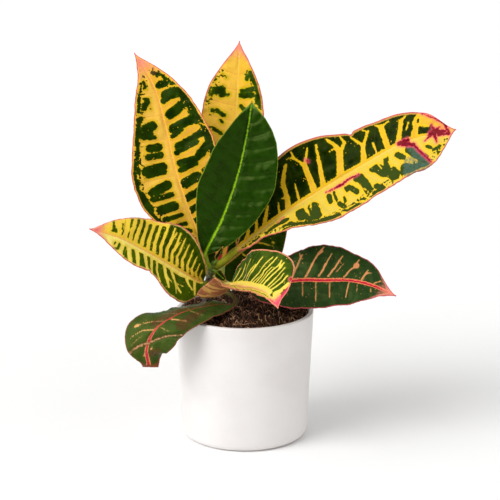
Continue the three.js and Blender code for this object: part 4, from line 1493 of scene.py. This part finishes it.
def leaf_paint(recipe, look):
    """The glazes in order, each laid over the last one through its own mask.  The field
    is how many millimetres a point lies inside the yellow, plus fray, less freckles."""
    flat = recipe.place("flat")
    brushed = recipe.stretch(flat, (0.6, 1.5, 1.0))  # the edges fray along the side ribs
    coarse, fine = recipe.grain(brushed, 0.40, 3), recipe.grain(brushed, 1.2, 2)
    clouds = recipe.fade(recipe.grain(flat, 0.09, 3), 0.36, 0.64)
    fray = recipe.plus(*(recipe.wander(*pair) for pair in zip((coarse, fine), look["fray"])))
    field = recipe.plus(recipe.measure("yellow"), fray)
    left_share = recipe.fade(recipe.measure("aside"), -0.4, 0.4)
    freckles = recipe.times(recipe.fade(recipe.grain(flat, 0.34, 1.5), 0.54, 0.60),
                            recipe.fade(recipe.measure("rim"), 15, 5))
    left_freckles, right_freckles = look["freckles"]
    amount = recipe.fade(left_share, 0, 1, right_freckles, left_freckles)
    field = recipe.maths("SUBTRACT", field, recipe.times(freckles, amount))

    pale, rib = colour(*look["pale_green"]), colour(*look["rib"])
    side_rib = recipe.fade(recipe.measure("rib"), 0.6, 0.1)
    green = by_side(recipe, left_share, look["green"])
    green = recipe.blend(recipe.times(clouds, 0.28), green, pale)
    border = recipe.fade(field, -1.5, -0.1, 0.0, 0.85)
    green = recipe.blend(recipe.times(border, recipe.fade(coarse, 0.4, 0.6)), green, pale)
    green = recipe.blend(recipe.times(side_rib, 0.35), green, pale)

    yellow = by_side(recipe, left_share, look["yellow"])
    warm = recipe.times(recipe.fade(fine, 0.40, 0.66), 0.30)
    yellow = recipe.blend(warm, yellow, rib)
    yellow = recipe.blend(recipe.fade(field, 3.4, 0.4, 0.0, 0.75), yellow, colour(*look["seam"]))
    specks = recipe.fade(recipe.cells(flat, 0.36), 0.16, 0.09, 0.0, 0.55)
    yellow = recipe.blend(recipe.times(specks, recipe.fade(coarse, 0.5, 0.56)), yellow, pale)
    yellow = recipe.blend(recipe.times(side_rib, 0.7), yellow, rib)

    crowds = recipe.fade(recipe.grain(flat, 0.06, 1), 0.50, 0.56, 0.0, 0.8)
    dots = recipe.times(recipe.fade(recipe.cells(flat, 0.30), 0.17, 0.12), crowds)
    dots = recipe.times(dots, recipe.fade(field, look["dots_from"], -3.0))
    green = recipe.blend(dots, green, yellow)
    return recipe.blend(recipe.fade(field, -0.25, 0.25), green, yellow), clouds, fine

# %% [markdown]
# Over the paint go the lines: first those that every leaf has, then the marks of wear.

# %% The lines and marks
def leaf_lines(recipe, look, wobble, skin):
    """The border and the midrib, the blush at the tip, the lining and the rim.  Each is a
    mask of a distance, which the wobble keeps from being ruler-straight."""
    station = recipe.measure("station")
    away = recipe.plus(recipe.maths("ABSOLUTE", recipe.measure("aside")), wobble)
    for line in ("border", "midrib"):
        start, stop = look[line + "_width"]
        if start + stop:
            ends = {"From Min": look["lines_from"], "To Min": start, "To Max": stop}
            width = recipe.node("MapRange", {"Value": station, **ends}).outputs["Result"]
            inside = recipe.maths("SUBTRACT", width, away)
            skin = recipe.blend(recipe.fade(inside, -0.3, 0.3), skin, colour(*look[line]))
    sooner = recipe.fade(recipe.measure("rim"), 3.5, 0.0, 0.0, 0.06)  # it starts at the rim
    reach = recipe.plus(recipe.plus(station, sooner), recipe.times(wobble, 0.04))
    blush = recipe.fade(reach, look["tip_from"], look["tip_full"], 0.0, 0.9)
    skin = recipe.blend(blush, skin, colour(*look["tip"]))
    edge = recipe.plus(recipe.measure("rim"), recipe.times(wobble, 0.7))
    width = look["rim_width"]
    lining = recipe.fade(edge, width + 1.6, width + 0.7, 0.0, look["lining"])
    skin = recipe.blend(lining, skin, colour(*look["border"]))
    rim = recipe.fade(edge, width + 0.3, width - 0.3, 0.0, 0.9)
    return recipe.blend(rim, skin, colour(*look["rim"]))


def leaf_marks(recipe, stain, wobble, skin):
    """A mottled film of brown patches and of painted sheen, and stains with a halo round them."""
    film, halo, light, deep = (colour(*shade) for shade in stain)
    # the film: brown patches, and on the right leaf a painted grey-green sheen
    sheen_and_patch_mask = recipe.fade(recipe.plus(recipe.measure("sheen_and_patch"), wobble), -1.5, 1.5)
    mottle = recipe.fade(recipe.grain(recipe.place("flat"), 0.35, 3), 0.35, 0.62, 0.3, 0.75)
    skin = recipe.blend(recipe.times(sheen_and_patch_mask, mottle), skin, film)
    spread = recipe.plus(recipe.measure("stain"), recipe.times(wobble, 1.3))
    skin = recipe.blend(recipe.fade(spread, -2.6, 0.2, 0.0, 0.5), skin, halo)
    mark = recipe.blend(recipe.fade(spread, -0.1, 1.1), light, deep)
    return recipe.blend(recipe.fade(spread, -0.6, 0.6), skin, mark)

# %% [markdown]
# The last step is what the hand would feel: wax above, a dull underside, and tiny veins.

# %% The whole finish
def leaf_finish(name, look, stain):
    """Paint, lines, marks, stalk and underside, under a waxy skin with a net of veins."""
    recipe = Recipe(name + "_skin", Specular_IOR_Level=look["gloss"], Specular_Tint=GREENISH)
    flat = recipe.place("flat")
    wobble = recipe.fade(recipe.grain(flat, 0.5, 2), 0.3, 0.7, -0.35, 0.35)
    skin, clouds, fine = leaf_paint(recipe, look)
    skin = leaf_lines(recipe, look, wobble, skin)
    skin = leaf_marks(recipe, stain, wobble, skin)
    skin = recipe.blend(recipe.times(recipe.measure("stalk"), 0.9), skin, colour(*look["stalk"]))
    under = recipe.measure("under")
    streaks = recipe.fade(fine, 0.3, 0.7, 0.6, 0.85)
    lines = recipe.grain(recipe.stretch(flat, (0.05, 0.8, 1.0)), 1.0, 2)
    veins = recipe.fade(lines, 0.52, 0.60, 0.0, 0.5)
    dull = recipe.blend(veins, colour(*look["under"]), colour(*look["rib"]))
    skin = recipe.blend(recipe.times(under, streaks), skin, dull)
    net = recipe.fade(recipe.cells(flat, 0.55, "DISTANCE_TO_EDGE"), 0.0, 0.22)
    pebble = recipe.plus(recipe.times(fine, 0.7), recipe.times(net, 0.3))
    shine = recipe.plus(recipe.fade(clouds, 0, 1, 0.26, 0.38), recipe.times(under, 0.25))
    return recipe.finish(skin, shine, pebble, 0.35, 0.22)

# %% [markdown]
# ## Growing the leaves
# Everything is ready: the chart, the fields, the bending and the paint.  One loop grows
# all the leaves.  The leaf in the middle is the most quilted, so it has its own bulge.

# %% Grow the leaves
BULGE = {"leaf_front_green": 1.05, "leaf_upper_left": 0.3, "leaf_right": 0.4, "leaf_left": 0.3}
USUAL_BULGE = 0.35
RIPPLE = {
    "leaf_crown_upper": 0.1, "leaf_crown_lower": 0.1, "leaf_front_green": 0.4, "leaf_right": 0.3,
}
USUAL_RIPPLE = 0.6
LEAF_SLOTS = {
    "leaf_yellow": [
        "leaf_upper_left", "leaf_upper_back", "leaf_right", "leaf_left", "leaf_front_right",
    ],
    "leaf_green": [
        "leaf_front_green", "leaf_lower_right", "leaf_lower_left", "leaf_back_right",
        "leaf_crown_upper", "leaf_crown_lower",
    ],
}


def grow_leaf(name):
    """Chart, relief, rings, measures and skin of one leaf."""
    chart = lay_flat(LEAVES[name], NOTCHES.get(name, ()))
    ribs = RIBS[name]
    bulge, ripple = BULGE.get(name, USUAL_BULGE), RIPPLE.get(name, USUAL_RIPPLE)
    height = relief(chart, ribs, CREASES.get(name, []), bulge, ripple)
    points, faces = capped_rings(leaf_rings(chart, height, ribs))
    skin = leaf_finish(name, LOOKS[name], STAIN_COLOURS.get(name, NO_STAIN))
    leaf = add_piece(name + "_blade", points, faces, [skin], leaf_measures(name, chart, ribs))
    stand_for(leaf, name)


for slot, names in LEAF_SLOTS.items():
    for name in names:
        grow_leaf(name)

# %% [markdown]
# ## The studio
# A wide pale floor, and the strongest of four soft lamps high on the left.  The camera
# looks down a little, from a good distance, as for a catalogue.  The air glows weakly, so
# that the shadows stay deep, but looks paper white behind the plant.

# %% Floor
def floor_finish():
    """Matt paper white with the faintest mottle."""
    recipe = Recipe("studio_paper", Specular_IOR_Level=0.1)
    place = recipe.place("object")
    mottle = recipe.grain(place, 3, 3)
    base = recipe.blend(mottle, colour(247, 247, 247), colour(250, 250, 250))
    return recipe.finish(base, recipe.fade(mottle, 0, 1, 0.85, 0.95), mottle, 0.05, 0.2)


FLOOR_RADIUS = 9000
FLOOR_SIDES = 96
turn = np.linspace(0, 2 * np.pi, FLOOR_SIDES, endpoint=False)
disc = FLOOR_RADIUS * np.stack([np.cos(turn), np.sin(turn), 0 * turn], axis=-1)
floor = add_piece("studio_floor", disc, [list(range(FLOOR_SIDES))], [floor_finish()])

# %% Light
AIR = {"glow": 0.3, "seen": 1.0}  # the light that the air gives, and how pale it looks
# towards the lamp (right, back, up), strength, width in degrees, and tint
SOFT_SUNS = {
    "window": ((-0.70, -0.50, 0.80), 1.8, 40, (1.0, 1.0, 1.0)),
    "ceiling": ((0.1, 0.2, 1.0), 0.9, 100, (1.0, 1.0, 1.0)),
    "left_reflector": ((-1.0, -0.15, 0.10), 1.25, 70, (1.0, 0.99, 0.98)),
    "right_reflector": ((0.80, -0.60, 0.25), 0.55, 80, (1.0, 0.95, 0.91)),
}


def fill_air():
    """A world of two white backgrounds: one lights the plant, the camera sees the other."""
    world = bpy.data.worlds.new("studio_air")
    world.use_nodes = True
    nodes, links = world.node_tree.nodes, world.node_tree.links
    nodes.remove(nodes["Background"])
    choice = nodes.new("ShaderNodeMixShader")
    links.new(nodes.new("ShaderNodeLightPath").outputs["Is Camera Ray"], choice.inputs[0])
    for socket, strength in ((1, AIR["glow"]), (2, AIR["seen"])):
        background = nodes.new("ShaderNodeBackground")
        background.inputs["Color"].default_value = (1.0, 1.0, 1.0, 1.0)
        background.inputs["Strength"].default_value = strength
        links.new(background.outputs[0], choice.inputs[socket])
    links.new(choice.outputs[0], nodes["World Output"].inputs["Surface"])
    bpy.context.scene.world = world


def light_studio():
    """Four wide soft lights, each far away in its own direction."""
    for name, (source, strength, width, tint) in SOFT_SUNS.items():
        sun = bpy.data.lights.new(name + "_light", "SUN")
        sun.energy = strength
        sun.color = tint
        sun.angle = np.radians(width)
        holder = bpy.data.objects.new(name + "_light", sun)
        holder.rotation_euler = Vector(source).to_track_quat("Z", "Y").to_euler()
        bpy.context.scene.collection.objects.link(holder)


fill_air()
light_studio()
bpy.context.scene.view_settings.view_transform = "Standard"
print("lamps:", ", ".join(SOFT_SUNS))

# %% Camera
CAMERA = {
    "place": (5.1, -1738.7, 645.2), "down": 15,
    "focal_length": 138.7, "sensor": 36, "sees_to": 30,
}


def set_camera():
    """Square to the front and tipped down, with a long lens so that it doesn't distort."""
    lens = bpy.data.cameras.new("catalogue_camera")
    lens.lens = CAMERA["focal_length"]
    lens.sensor_width = CAMERA["sensor"]
    lens.clip_end = CAMERA["sees_to"]
    camera = bpy.data.objects.new("catalogue_camera", lens)
    camera.location = Vector(CAMERA["place"]) * MM
    camera.rotation_euler = (np.radians(90 - CAMERA["down"]), 0, 0)
    bpy.context.scene.collection.objects.link(camera)
    bpy.context.scene.camera = camera


set_camera()
print("camera at", CAMERA["place"], "mm, tipped down by", CAMERA["down"], "degrees")
